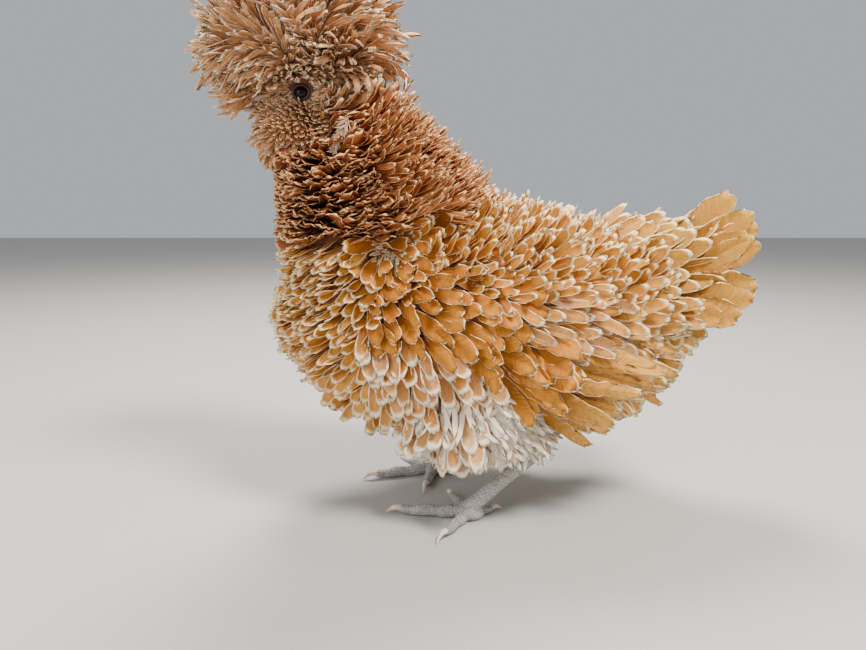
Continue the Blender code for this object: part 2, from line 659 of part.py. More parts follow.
def tube(name, path, radii, sides=10, colour="shank", squash=1.0, ridges=0.0):
    """A closed tube along points, its height squashed. Ridges raise every second ring on its upper side."""
    path, radii = np.asarray(path, float), np.asarray(radii, float)
    way = np.gradient(path, axis=0)
    way /= np.linalg.norm(way, axis=1)[:, None]
    across = np.cross(way, (0, 0, 1.0))
    flat = np.linalg.norm(across, axis=1) < 1e-3
    across[flat] = (0, 1, 0)
    across /= np.linalg.norm(across, axis=1)[:, None]
    up = np.cross(across, way)
    turn = 2 * math.pi * np.arange(sides) / sides
    rise = np.sin(turn) * squash
    plate = 1 + ridges * np.clip(np.sin(turn), 0, 1)[None, :] * (np.arange(len(path)) % 2)[:, None]
    grid = path[:, None] + (radii[:, None] * plate)[..., None] * (
        np.cos(turn)[None, :, None] * across[:, None] + rise[None, :, None] * up[:, None])
    return add_mesh(name, *closed_tube(grid.reshape(-1, 3), len(path), sides), colour)


def shank_hollow(foot):
    """The room that a thigh leaves for the shank, out along its own line."""
    top, foot_end = shank_ends(foot)
    way = (top - foot_end) / np.linalg.norm(top - foot_end)
    path = np.linspace(foot_end - way * 10, top + way * GAP, 4)
    return tube("hollow", path, [SHANK_RADIUS + 2.2] * 4, 14)


def shank_ends(foot):
    x, y = SOLES[foot]
    return hock_of(foot), np.array([x, y, 7.0])


def toe_path(foot, turn, length, radius, count=8):
    """Points along a toe's middle, from inside the sole to its end."""
    x, y = SOLES[foot]
    mirror = 1 if foot == "right" else -1
    angle = math.radians(HEADINGS[foot] - mirror * turn)
    way = np.array([math.cos(angle), math.sin(angle), 0])
    s = np.linspace(0, 1, count)
    height = radius * 0.82 + 0.9 * np.sin(s * math.pi * 2.5) ** 2
    return np.array([x, y, 0]) + way * (s * length)[:, None] + np.stack([0 * s, 0 * s, height], -1), way


def make_leg(name, foot):
    top, low = shank_ends(foot)
    count = 14
    path = np.linspace(top, low, count)
    shares, girths = (0, 0.12, 0.5, 0.85, 1), (1.25, 1.05, 0.9, 1.0, 1.25)
    radii = SHANK_RADIUS * np.interp(np.linspace(0, 1, count), shares, girths)
    leg = tube(name, path, radii, 8, ridges=0.13)
    pieces = []
    for toe, turn, length, radius in TOES:
        points, _ = toe_path(foot, turn, length, radius, 10)
        sizes = radius * np.interp(np.linspace(0, 1, 10), [0, 0.3, 0.8, 1], [1.25, 1.0, 0.85, 0.62])
        pieces.append(tube(toe, points, sizes, 6, squash=0.9, ridges=0.13))
    x, y = SOLES[foot]
    sole = [(-11, 3, 1, 1), (-6, 4, 6, 8), (2, 5, 7, 9.5), (9, 4, 5, 7), (13, 3, 1, 1)]
    pad = Form([(x + ahead, *row) for ahead, *row in sole], y=y)
    pieces.append(pad.solid("pad", 6, 8, "shank"))
    boolean(leg, pieces, "UNION")
    floor = prism("floor", [(-FAR, -60), (FAR, -60), (FAR, 0), (-FAR, 0)], -FAR, FAR)
    return keep_largest(boolean(leg, [floor], "DIFFERENCE"))


def make_claws(foot):
    for toe, turn, length, radius in TOES:
        points, way = toe_path(foot, turn, length, radius)
        start = points[-1] + way * 3 * GAP
        s = np.linspace(0, 1, 6)[:, None]
        reach = CLAW_LENGTH * (0.75 if toe == "hind" else 1.0)
        drop = np.minimum(start[2] - 1.0, CLAW_DROP)
        lift = 1.6 * np.sin(s * math.pi) - drop * s**2
        path = start + way * reach * s + np.array([0, 0, 1.0]) * lift
        radii = radius * 0.56 * (1 - 0.93 * s[:, 0] ** 1.3)
        tube(f"claw_{foot}_{toe}", path, radii, 6, "horn")


def make_bills():
    for name, rows in (("bill_upper", UPPER_BILL), ("bill_lower", LOWER_BILL)):
        bill = Form(rows).solid(name, 7, 10, "horn")
        if name == "bill_upper":
            hole = ovoid((NOSTRIL[0], NOSTRIL[2]), (2.8, 1.0, 2.0), 12.0)
            holes = [Form(hole, y=side * NOSTRIL[1]) for side in (-1, 1)]
            boolean(bill, [hole.solid("nostril", 5, 8) for hole in holes], "DIFFERENCE")
        keep_largest(bill)


def centre_on_floor():
    """Moves everything so that the origin is under the middle of the model, on the floor."""
    things = [thing for thing in bpy.data.objects if thing.type == "MESH"]
    corners = np.vstack([np.array([v.co for v in thing.data.vertices]) for thing in things])
    low, high = corners.min(0), corners.max(0)
    shift = Matrix.Translation((-(low[0] + high[0]) / 2, -(low[1] + high[1]) / 2, -low[2]))
    for thing in things:
        thing.data.transform(shift)


def main():
    clear_scene()
    make_body_parts()
    make_ruff("crest", CREST_CENTRE, CREST_RADII, away_from_crown,
              lambda at, out: inside("crest", at[0], at[2]))
    make_ruff("beard", BEARD_CENTRE, BEARD_RADII, lambda at, out, along: np.array([-0.2, 0, -1.0]),
              lambda at, out: inside("beard", at[0], at[2]))
    make_head()
    make_bills()
    for side, foot in ((-1, "left"), (1, "right")):
        ball(f"eye_{foot}", side, EYE_RADIUS)
        make_wing(f"wing_{foot}", side)
        make_leg(f"leg_{foot}", foot)
        make_claws(foot)
    centre_on_floor()


main()
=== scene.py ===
"""A frizzled, crested and bearded hen at life size, feather by feather, on a plain studio floor.

Shapes are worked out in millimetres, in the builder's own coordinates: the bird faces -X, its
left side is at -Y, the plane y = 0 is its middle, and z = 0 is the floor. place() turns them
into the frame's metres. Angles are in degrees, and 0 is straight back, -90 down and 90 up.
"""

import math
from functools import partial

import bpy
import numpy as np
from bpy.props import FloatProperty, FloatVectorProperty, IntProperty, PointerProperty
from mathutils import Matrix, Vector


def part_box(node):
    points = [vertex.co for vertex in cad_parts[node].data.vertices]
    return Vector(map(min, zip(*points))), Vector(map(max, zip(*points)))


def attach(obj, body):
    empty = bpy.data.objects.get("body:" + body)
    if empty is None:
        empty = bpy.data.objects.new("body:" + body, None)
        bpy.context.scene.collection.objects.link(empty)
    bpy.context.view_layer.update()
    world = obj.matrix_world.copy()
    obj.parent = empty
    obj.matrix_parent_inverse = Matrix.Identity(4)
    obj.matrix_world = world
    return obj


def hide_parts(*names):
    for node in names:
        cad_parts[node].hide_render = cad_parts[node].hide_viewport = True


bl_info = {
    "name": "Frizzled crested hen",
    "version": (1, 0, 0),
    "blender": (4, 5, 0),
    "location": "View3D > Sidebar > Hen",
    "description": "Builds the feathers, skin, bill, eyes and feet of a frizzled crested hen",
    "category": "Add Mesh",
}

MM = 0.001
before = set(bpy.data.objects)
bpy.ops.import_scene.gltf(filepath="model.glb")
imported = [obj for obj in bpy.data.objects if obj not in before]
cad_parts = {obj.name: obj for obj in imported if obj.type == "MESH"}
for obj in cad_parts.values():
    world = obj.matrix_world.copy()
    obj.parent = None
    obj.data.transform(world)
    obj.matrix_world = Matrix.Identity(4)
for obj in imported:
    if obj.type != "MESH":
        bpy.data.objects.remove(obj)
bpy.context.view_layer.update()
SIDES = ((-1, "left"), (1, "right"))
DOWNWARDS = np.array([0.0, 0.0, -1.0])

# The eye's place in millimetres ties the builder's coordinates to the frame.
EYE_CENTRE, EYE_RADIUS = np.array([-101.0, 13.5, 331.2]), 6.0
EYE_BOX = np.array([list(corner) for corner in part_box("eye_right")])
SHIFT = EYE_BOX.mean(0) / MM - EYE_CENTRE

# How far from the eye's middle, seen from the side, each kind of feather starts, and the lids' ring.
CLEAR_OF_EYE = {"crest": 10.5, "brow": 8.3, "face": 6.9}
LID_RINGS, LID_SIDES, LID_RADIUS, LID_Y = 72, 12, 6.2, 16.8

# Bodies of the parts under the feathers, as rows of (x, z, half height, half width).
TORSO = [(-98, 196, 6, 6), (-92, 192, 28, 25), (-71, 179, 50, 41), (-33, 162, 66, 55), (10, 152, 74, 62),
         (60, 146, 72, 62), (105, 146, 62, 52), (140, 156, 48, 38), (165, 168, 32, 24), (180, 176, 8, 8)]
NECK = [(-82, 338, 12, 12), (-79, 318, 21, 19), (-70, 288, 36, 34), (-58, 258, 48, 45), (-44, 226, 62, 56),
        (-32, 196, 66, 62)]
RUMP = [(120, 176, 38, 30), (150, 184, 32, 24), (176, 190, 22, 17), (190, 193, 12, 10), (196, 194, 3, 3)]
THIGH = [(28, 128, 40, 24), (32, 98, 44, 26), (48, 76, 34, 22), (64, 62, 20, 16), (74, 54, 8, 8)]
THIGH_Y = 44.0
CREST_CENTRE, CREST_RADII = (-103.0, 366.0), (43.0, 28.0, 34.0)
BEARD_CENTRE, BEARD_RADII = (-108.0, 304.0), (27.0, 23.0, 25.0)
MUFF_CENTRE, MUFF_FRONT = (-104.0, 304.0), (-118.0, -14.0)
HEAD_CENTRE, HEAD_RADII = (-96.0, 332.0), (36.0, 21.0, 17.0)

# How far the down stands off each body.
DOWN = {"torso": 7.0, "rump": 4.0, "thigh": 4.0}

# Where the neck's feathers end and the body's begin, as x and z. Over NAPE_FOOT the crest takes over.
NECK_FOOT = ((-90, -60, -46, -28, 20), (226, 222, 224, 236, 244))
NAPE_FOOT = 317.0

# The wing's outline as (angle, reach from its centre), and the bulge of the body under it.
WING_CENTRE = (45.0, 150.0)
WING_REACH = [(-160, 102), (-135, 84), (-110, 62), (-90, 56), (-65, 70), (-45, 112), (-30, 142),
              (-20, 150), (-8, 134), (10, 104), (35, 70), (60, 52), (90, 48), (115, 62), (140, 98),
              (160, 112), (180, 108), (200, 102)]
WING_BED = {"centre": (20.0, 150.0), "spread": (230.0, 130.0), "depth": 66.0}
WING_THICK, WING_EDGE, WING_BODY = 11.0, 12.0, 72.0

# The whorl of down on the shoulder, from which the wing's feathers fan out.
WING_WHORL, WHORL_REACH, WHORL_STRANDS = (-28.0, 216.0), 13, 130

# The pale loose feather behind the cheek.
STRAY_ROOT, STRAY_WAY = np.array([-60.0, -54.0, 308.0]), np.array([-0.45, 0.0, -0.89])
STRAY_SHAFT, STRAY_BARBS = 26, 90

# Pairs of tail feathers, as (slope, length, distance from the middle), from the top pair down.
TAIL_ROOT = (168.0, 188.0)
TAIL_TIERS = [(42, 97, 2), (37, 99, 4), (31, 98, 6), (25, 95, 8), (19, 91, 10), (12, 88, 12.5), (5, 84, 15),
              (-2, 79, 17), (-8, 72, 19), (-14, 61, 21)]

UPPER_BILL = [(-126.0, 331, 5.6, 8.2), (-137, 331.2, 5.4, 7.0), (-146, 329.2, 4.6, 5.2),
              (-152, 326.0, 3.4, 3.4), (-156, 321.8, 1.8, 1.6), (-157.2, 319.2, 0.5, 0.6)]
LOWER_BILL = [(-126.0, 321.2, 3.2, 7.4), (-138, 321.4, 2.9, 6.0), (-146, 321.0, 2.2, 4.2),
              (-151.5, 320.6, 0.8, 1.6)]
NOSTRIL, NOSTRIL_DEPTH = (-139.0, 6.0, 332.8), 3.2

# Each sole's middle and heading, then each toe's name, angle from the middle one, length and radius.
SOLES = {"left": (28.0, -50.0), "right": (0.0, 42.0)}
HEADINGS = {"left": 174.0, "right": 196.0}
TOES = [("middle", 0.0, 54.0, 4.8), ("outer", 66.0, 38.0, 4.2), ("inner", -64.0, 36.0, 4.2),
        ("hind", -150.0, 22.0, 3.6)]
TOE_RINGS = 70
HOCK_RISE, HOCK_BACK, SHANK_RADIUS = 58.0, 56.0, 6.0
CLAW_LENGTH, CLAW_DROP = 13.0, 5.0

# The camera as the photo has it: its place in millimetres, its pitch and the focal length in its pixels.
CAMERA_PLACE, CAMERA_PITCH = np.array([0.0, -540.0, 240.0]), 9.7
FOCAL_PIXELS, PHOTO_WIDTH = 654.0, 866.0

# Lamps, as (name, place in metres, size, share of the key light's watts, colour), and where they aim.
LAMPS = [("key", (0.75, -0.75, 1.9), 0.6, 1.0, (1.0, 0.93, 0.84)),
         ("fill", (-1.5, -1.3, 0.9), 1.4, 0.28, (0.97, 0.98, 1.0)),
         ("top", (-0.2, 0.8, 1.8), 0.7, 0.75, (1.0, 0.96, 0.90))]
LAMP_AIM = (0.0, 0.0, 0.2)

# A feather's outline: half width at each share of its length.
OUTLINES = {
    "broad": ((0, 0.12, 0.35, 0.6, 0.85, 1.0), (0.16, 0.42, 0.8, 1.0, 0.96, 0.62)),
    "hackle": ((0, 0.12, 0.35, 0.6, 0.85, 1.0), (0.2, 0.5, 0.92, 1.0, 0.72, 0.3)),
    "flight": ((0, 0.1, 0.25, 0.6, 0.9, 1.0), (0.16, 0.55, 0.9, 1.0, 0.92, 0.55)),
    "fluff": ((0, 0.12, 0.35, 0.6, 0.85, 1.0), (0.4, 0.8, 1.0, 0.9, 0.7, 0.35)),
}

# A feather's looks where a table names no others, and how far chance shakes some of them.
PLAIN_LOOKS = {
    "length": 30.0, "width": 12.0, "lift": 30.0, "curl": 40.0, "twist": 0.0, "bend": 0.0, "roll": 0.0,
    "cup": 0.25, "wave": 0.1, "frill": 0.1, "tipped": 0.4, "round": 0.5, "fray": 0.04, "tone": 0.5,
    "pale": 0.0, "lace": 1.0, "clump": 0.1,
}
LOOK_SPREADS = {"length": 0.16, "width": 0.12, "lift": 6.0, "curl": 15.0, "twist": 16.0, "bend": 0.07}

# Deep base, which towards the root also paints the shade where feathers overlap, middle and laced edge of
# each kind of feather, and its shaft if that isn't the middle's.
FEATHER_COLOURS = {
    "crest feather": ((0.40, 0.155, 0.053), (0.80, 0.43, 0.19), (0.96, 0.77, 0.55)),
    "beard feather": ((0.37, 0.145, 0.050), (0.72, 0.39, 0.18), (0.88, 0.66, 0.43)),
    # The neck's colours are darker than the body's: they also paint the shade among the ruff's curled
    # feathers.
    "neck feather": ((0.24, 0.068, 0.018), (0.42, 0.138, 0.032), (0.84, 0.50, 0.24)),
    "stray feather": ((0.40, 0.23, 0.13), (0.56, 0.36, 0.23), (0.64, 0.46, 0.33)),
    "belly down": ((0.72, 0.50, 0.28), (0.92, 0.73, 0.48), (0.97, 0.88, 0.72)),
    "wing covert": ((0.34, 0.105, 0.011), (0.70, 0.280, 0.032), (0.98, 0.80, 0.50), (0.50, 0.16, 0.016)),
    "flight feather": ((0.38, 0.15, 0.022), (0.78, 0.40, 0.085), (0.94, 0.72, 0.40), (0.26, 0.10, 0.02)),
    "flank feather": ((0.40, 0.13, 0.018), (0.74, 0.32, 0.055), (0.98, 0.83, 0.58)),
    "tail feather": ((0.37, 0.155, 0.024), (0.66, 0.33, 0.055), (1.0, 0.80, 0.45)),
    "thigh feather": ((0.44, 0.17, 0.035), (0.76, 0.37, 0.09), (0.98, 0.85, 0.64)),
}


def place(points):
    """Builder's millimetres to the frame's metres."""
    return (np.asarray(points, float) + SHIFT) * MM


def unit(v):
    """Vectors divided by their lengths."""
    return v / np.maximum(np.linalg.norm(v, axis=-1, keepdims=True), 1e-9)


def turned(first, second, angle):
    """Two directions at right angles, turned by an angle in radians, the first towards the second."""
    cos, sin = np.cos(angle)[..., None], np.sin(angle)[..., None]
    return cos * first + sin * second, cos * second - sin * first


def polar(x, z, centre):
    """Distance and angle from a centre of places seen from the side."""
    x, z = x - centre[0], z - centre[1]
    return np.hypot(x, z), np.degrees(np.arctan2(z, x))


def round_places(centre, reach, turn):
    """x and z at a distance and an angle in radians from a centre."""
    return centre[0] + reach * np.cos(turn), centre[1] + reach * np.sin(turn)


def stacked(*values):
    """Values side by side along a last axis. One number may stand for many."""
    return np.stack(np.broadcast_arrays(*values), -1)


def ramp(value, start, width):
    """0 up to start, 1 from a width further on, and straight between. A width under 0 runs downwards."""
    return np.clip((value - start) / width, 0, 1)


def slope_way(slope):
    """The way along a slope seen from the side: its cosine back and its sine up."""
    turn = np.radians(slope)
    return stacked(np.cos(turn), 0, np.sin(turn))


def pick(mask, *arrays):
    """The rows of each array where the mask says so."""
    return [array[mask] for array in arrays]


def merged(*groups):
    """Several groups of roots as one."""
    return [np.concatenate(arrays) for arrays in zip(*groups)]


def smooth_rows(rows, places):
    """Rows read at places from 0 to 1 along a Catmull-Rom curve through all of them."""
    rows = np.asarray(rows, float)
    rows = np.vstack([2 * rows[0] - rows[1], rows, 2 * rows[-1] - rows[-2]])
    last = len(rows) - 4
    at = np.clip(np.asarray(places, float), 0, 1) * (last + 1)
    i = np.minimum(at.astype(int), last)
    t = (at - i)[..., None]
    a, b, c, d = rows[i], rows[i + 1], rows[i + 2], rows[i + 3]
    return 0.5 * (2 * b + (c - a) * t + (2 * a - 5 * b + 4 * c - d) * t**2 + (3 * b - a - 3 * c + d) * t**3)


def ovoid(centre, radii):
    """Rows of a rounded body: half sizes are radii times the square root of 1 - t squared along its axis."""
    t = np.linspace(-0.995, 0.995, 9)
    size = np.sqrt(1 - t**2)
    return stacked(centre[0] + radii[0] * t, centre[1], radii[1] * size, radii[2] * size)


class Form:
    """A rounded body: ellipses, upright to a line in the plane of symmetry, carried along that line."""

    def __init__(self, rows, y=0.0, grow=0.0):
        self.rows = np.asarray(rows, float) + (0, 0, grow, grow)
        self.y = y

    def point(self, u, v):
        """Centre(u) + up(u) * height * sin(turn) - y axis * width * cos(turn), with turn = v full circles."""
        u, v = np.broadcast_arrays(np.asarray(u, float), np.asarray(v, float))
        here, ahead, behind = (smooth_rows(self.rows, u + step) for step in (0, 0.01, -0.01))
        way = unit(ahead[..., :2] - behind[..., :2])
        up = stacked(-way[..., 1], way[..., 0])
        turn = 2 * math.pi * v
        rise = here[..., 2] * np.sin(turn)
        across = -here[..., 3] * np.cos(turn)
        return stacked(here[..., 0] + up[..., 0] * rise, self.y + across, here[..., 1] + up[..., 1] * rise)

    def faced(self, u, v):
        """Points on the surface and the way out at each: the cross of its slopes, turned off the middle."""
        at = self.point(u, v)
        along = self.point(u + 0.01, v) - self.point(u - 0.01, v)
        around = self.point(u, v + 0.01) - self.point(u, v - 0.01)
        out = unit(np.cross(along, around))
        centre = smooth_rows(self.rows, u)
        inner = stacked(centre[..., 0], self.y, centre[..., 1])
        return at, out * np.sign((out * (at - inner)).sum(-1, keepdims=True))

    def grid(self, rings, sides):
        """Points of the whole surface, ring by ring."""
        u, v = np.linspace(0, 1, rings), np.arange(sides) / sides
        return self.point(u[:, None], v[None, :])

    def spread(self, spacing, draw):
        """Roots in staggered, slightly shaken rows, each row with as many as its girth takes."""
        top = self.point(np.linspace(0, 1, 60), 0.25)
        rows = max(2, round(np.linalg.norm(np.diff(top, axis=0), axis=1).sum() / spacing))
        places = []
        for row in range(rows):
            u = (row + 0.5) / rows
            ring = self.point(u, np.linspace(0, 1, 40))
            count = max(3, round(np.linalg.norm(np.diff(ring, axis=0), axis=1).sum() / spacing))
            v = (np.arange(count) + 0.5 * (row % 2) + draw.uniform(-0.22, 0.22, count)) / count
            places.append(stacked(u + draw.uniform(-0.25, 0.25, count) / rows, v))
        places = np.vstack(places)
        return (*self.faced(places[:, 0], places[:, 1]), places % 1.0)

    def holds(self, at, depth):
        """Whether points lie deeper than depth inside, by the ellipse of any station of the line."""
        u = np.linspace(0, 1, 90)
        here = smooth_rows(self.rows, u)
        way = unit(smooth_rows(self.rows, u + 0.01)[:, :2] - smooth_rows(self.rows, u - 0.01)[:, :2])
        step = np.linalg.norm(np.gradient(here[:, :2], axis=0), axis=1)
        off = at[:, None, [0, 2]] - here[None, :, :2]
        along = (off * way).sum(-1)
        rise = off[..., 1] * way[:, 0] - off[..., 0] * way[:, 1]
        height, width = np.maximum(here[:, 2] - depth, 0.5), np.maximum(here[:, 3] - depth, 0.5)
        share = (rise / height) ** 2 + ((at[:, None, 1] - self.y) / width) ** 2
        return ((np.abs(along) < step) & (share < 1)).any(1)


FORMS = {
    "torso": Form(TORSO, grow=DOWN["torso"]),
    "neck": Form(NECK),
    "rump": Form(RUMP, grow=DOWN["rump"]),
    "crest": Form(ovoid(CREST_CENTRE, CREST_RADII)),
    "beard": Form(ovoid(BEARD_CENTRE, BEARD_RADII)),
    "head": Form(ovoid(HEAD_CENTRE, HEAD_RADII)),
    "thigh_left": Form(THIGH, y=-THIGH_Y, grow=DOWN["thigh"]),
    "thigh_right": Form(THIGH, y=THIGH_Y, grow=DOWN["thigh"]),
}


def tile(places, index):
    """Places from 0 to 1 on a body, moved to that body's own ninth of the unwrap."""
    return (places + (index % 3, index // 3)) / 3


def roots_on(name, spacing, draw, where=None, depth=1.5):
    """Roots over one body: points, ways out and places in the unwrap.

    Those that lie inside a neighbour are left out, and so are those where a test of x, y and z fails.
    """
    at, out, places = FORMS[name].spread(spacing, draw)
    shown = where(*at.T) if where else np.ones(len(at), bool)
    for other, form in FORMS.items():
        if other != name:
            shown &= ~form.holds(at, depth)
    return pick(shown, at, out, tile(places, list(FORMS).index(name)))


def neck_foot(x):
    """How high the neck's feathers end at x, read between the points of NECK_FOOT."""
    return np.interp(x, *NECK_FOOT)


def wing_reach(angle):
    """How far the wing's outline reaches at an angle, read between the rows of WING_REACH."""
    angles, reaches = zip(*WING_REACH)
    return np.interp((np.asarray(angle) + 160) % 360 - 160, angles, reaches, period=360)


def core_reach(angle):
    """The wing's own body: its outline less the feathers' ends, and short behind, where only quills are."""
    reach = wing_reach(angle) - WING_EDGE
    return np.where(np.cos(np.radians(angle)) > 0, np.minimum(reach, WING_BODY), reach)


def wing_bed(x, z):
    """How far from the middle the body under a wing lies: an ellipsoid's depth at x and z."""
    across = ((x - WING_BED["centre"][0]) / WING_BED["spread"][0]) ** 2
    height = ((z - WING_BED["centre"][1]) / WING_BED["spread"][1]) ** 2
    return WING_BED["depth"] * np.sqrt(np.clip(1 - across - height, 0.05, 1))


def wing_skin(x, z):
    """How far from the middle the wing's own body lies: its bed and a dome that thins towards its edge."""
    reach, angle = polar(x, z, WING_CENTRE)
    share = reach / core_reach(angle)
    return wing_bed(x, z) + 1.0 + (WING_THICK - 2) * (1 - np.clip(share, 0, 1) ** 3)


def wing_face(side, x, z):
    """Points on a wing's outer face and the way out of it there, from the slope of wing_skin."""
    step = 2.0
    at = stacked(x, side * wing_skin(x, z), z)
    slope_x = (wing_skin(x + step, z) - wing_skin(x - step, z)) / (2 * step)
    slope_z = (wing_skin(x, z + step) - wing_skin(x, z - step)) / (2 * step)
    return at, unit(stacked(-slope_x, side, -slope_z))


def on_wing(x, z, edge):
    """Which places seen from the side lie on the wing's body, widened by an edge."""
    reach, angle = polar(x, z, WING_CENTRE)
    return reach < core_reach(angle) + edge


def under_wing(x, y, z, edge):
    """Which places on the body's side lie under a wing, drawn in by an edge."""
    return on_wing(x, z, -edge) & (np.abs(y) > 30)


# Meshes


def finished(mesh, finish):
    """A smooth object at the origin for a mesh."""
    mesh.materials.append(finish)
    mesh.shade_smooth()
    made = bpy.data.objects.new(mesh.name, mesh)
    bpy.context.scene.collection.objects.link(made)
    return made


def new_object(name, points, faces, finish):
    """An object from points in millimetres and rows of three or four corners."""
    mesh = bpy.data.meshes.new(name)
    mesh.from_pydata(place(points).tolist(), [], [row.tolist() for row in faces])
    return finished(mesh, finish)


def quad_object(name, points, quads, finish):
    """The same for many four-cornered faces at once, put in with foreach_set."""
    mesh = bpy.data.meshes.new(name)
    mesh.vertices.add(len(points))
    mesh.vertices.foreach_set("co", place(points).astype(np.float32).ravel())
    mesh.loops.add(quads.size)
    mesh.loops.foreach_set("vertex_index", quads.astype(np.int32).ravel())
    mesh.polygons.add(len(quads))
    mesh.polygons.foreach_set("loop_start", np.arange(0, quads.size, 4, dtype=np.int32))
    mesh.update(calc_edges=True)
    return finished(mesh, finish)


def closed_tube(grid):
    """Rings of points made a closed surface, with a fan over each end."""
    rings, sides = grid.shape[:2]
    flat = grid.reshape(-1, 3)
    points = np.vstack([flat, grid[0].mean(0), grid[-1].mean(0)])
    i, j = np.meshgrid(np.arange(rings - 1), np.arange(sides), indexing="ij")
    a, b = i * sides + j, i * sides + (j + 1) % sides
    walls = stacked(a, b, b + sides, a + sides).reshape(-1, 4)
    k = np.arange(sides)
    near = stacked(rings * sides, (k + 1) % sides, k)
    base = (rings - 1) * sides
    end = stacked(rings * sides + 1, base + k, base + (k + 1) % sides)
    return points, list(walls) + list(near) + list(end)


def joined(shells):
    """The points and faces of several shells as one."""
    starts = np.cumsum([0] + [len(points) for points, faces in shells])
    faces = [row + start for (points, rows), start in zip(shells, starts) for row in rows]
    return np.vstack([points for points, rows in shells]), faces


def bake_map(made, places):
    """Puts a UV map named OFBake on a mesh, from one place for each of its points."""
    mesh = made.data
    corners = np.empty(len(mesh.loops), np.int32)
    mesh.loops.foreach_get("vertex_index", corners)
    layer = mesh.uv_layers.new(name="OFBake")
    layer.data.foreach_set("uv", places[corners].astype(np.float32).ravel())


def point_value(made, name, values):
    layer = made.data.attributes.new(name, "FLOAT", "POINT")
    layer.data.foreach_set("value", values.astype(np.float32).ravel())


def replace_nodes(made, slot, *nodes):
    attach(made, "root")
    if nodes:
        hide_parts(*nodes)


def feathers(root, out, way, places, draw, calm=1.0, **looks):
    """A table of feathers. Each look is one number, or one for each feather, shaken by its own spread."""
    count = len(root)
    table = {"root": root, "out": out, "place": places, "phase": draw.uniform(0, 6.28, count)}
    for key, value in {**PLAIN_LOOKS, **looks}.items():
        value = np.broadcast_to(np.asarray(value, float), count).copy()
        if key in ("length", "width"):
            value *= 1 + draw.uniform(-1, 1, count) * LOOK_SPREADS[key] * calm
        elif key in LOOK_SPREADS:
            value += draw.normal(0, 1, count) * LOOK_SPREADS[key] * calm
        table[key] = value
    table["tone"] = np.clip(table["tone"] + draw.normal(0, 0.15, count), 0, 1)
    x, y, z = root.T
    swirl = stacked(np.sin(z / 7 + y / 9), np.sin(x / 8 + z / 6), np.sin(y / 6 + x / 9))
    way = unit(way) + table.pop("clump")[:, None] * swirl + draw.normal(0, 0.12 * calm, (count, 3))
    table["way"] = unit(way - out * (way * out).sum(-1, keepdims=True))
    return table


def wavy(at, depth, draw):
    """How much feathers bend sideways, alike for neighbours, so that they gather in locks."""
    x, y, z = at.T
    return depth * np.sin(x / 8 + z / 6 + 1.7 * np.sin(y / 7 + x / 12)) + draw.normal(0, 0.4 * depth, len(at))


def feather_grid(f, outline, s, a, draw):
    """Points of many feathers at once, as (feather, station, column, xyz), the way each faces, and values.

    A shaft leaves its root at the lift angle and turns by the curl, more so near its tip. Across it the
    vane is an arc, cupped towards its face, waved along its rim, frilled near its end, and rounded and
    frayed at its tip. s runs from root to tip and a across the vane. A point's values are its
    distances from the rim, from the shaft and from the root, and its share of the length.
    """
    row = {key: value[:, None] for key, value in f.items()}
    side = unit(np.cross(f["way"], f["out"]))[:, None]
    ahead, face = turned(row["way"], row["out"], np.radians(row["lift"] + row["curl"] * s**1.5))
    step = np.diff(s, prepend=0.0)[:, None] * row["length"][..., None]
    shaft = row["root"] + np.cumsum(step * (ahead + np.roll(ahead, 1, 1)) / 2, axis=1)
    shaft += side * (row["bend"] * s**2 * row["length"])[..., None]
    ahead, side = turned(ahead, side, np.arctan(2 * row["bend"] * s))
    side, face = turned(side, face, np.radians(row["twist"] * s + row["roll"]))
    half = (np.interp(s, *OUTLINES[outline]) * row["width"] / 2)[..., None]
    look = {key: value[..., None] for key, value in row.items() if value.ndim == 2}
    t = s[:, None]
    count, stations, columns = len(f["root"]), len(s), len(a)
    reach = half * a * (1 + look["fray"] * draw.uniform(-1, 1, (count, stations, columns)) * np.abs(a))
    rise = look["cup"] * np.abs(reach) * np.abs(a)
    ripple = np.sin(t * 10.5 + look["phase"] + 2.4 * np.sign(a))
    rise = rise + look["wave"] * ripple * half * a**2 * t
    crinkle = np.sin(a * 4.6 + 2 * look["phase"] + 1.5 * t)
    rise = rise + look["frill"] * crinkle * half * t**1.5
    slip = -look["round"] * half * a**2 * t**2
    slip = slip + look["fray"] * 0.9 * (draw.uniform(-1, 1, (count, 1, columns)) * t**6) * look["width"]
    points = shaft[:, :, None] + side[:, :, None] * reach[..., None] + face[:, :, None] * rise[..., None]
    points = points + ahead[:, :, None] * slip[..., None]
    rim = np.minimum(1.5 * half * (1 - np.abs(a)), (1 - t) * (look["length"] * look["tipped"]))
    values = {"rim": rim, "across": half * a, "along": t, "reach": t * look["length"]}
    return points, face, values | {key: look[key] for key in ("tone", "pale", "lace")}


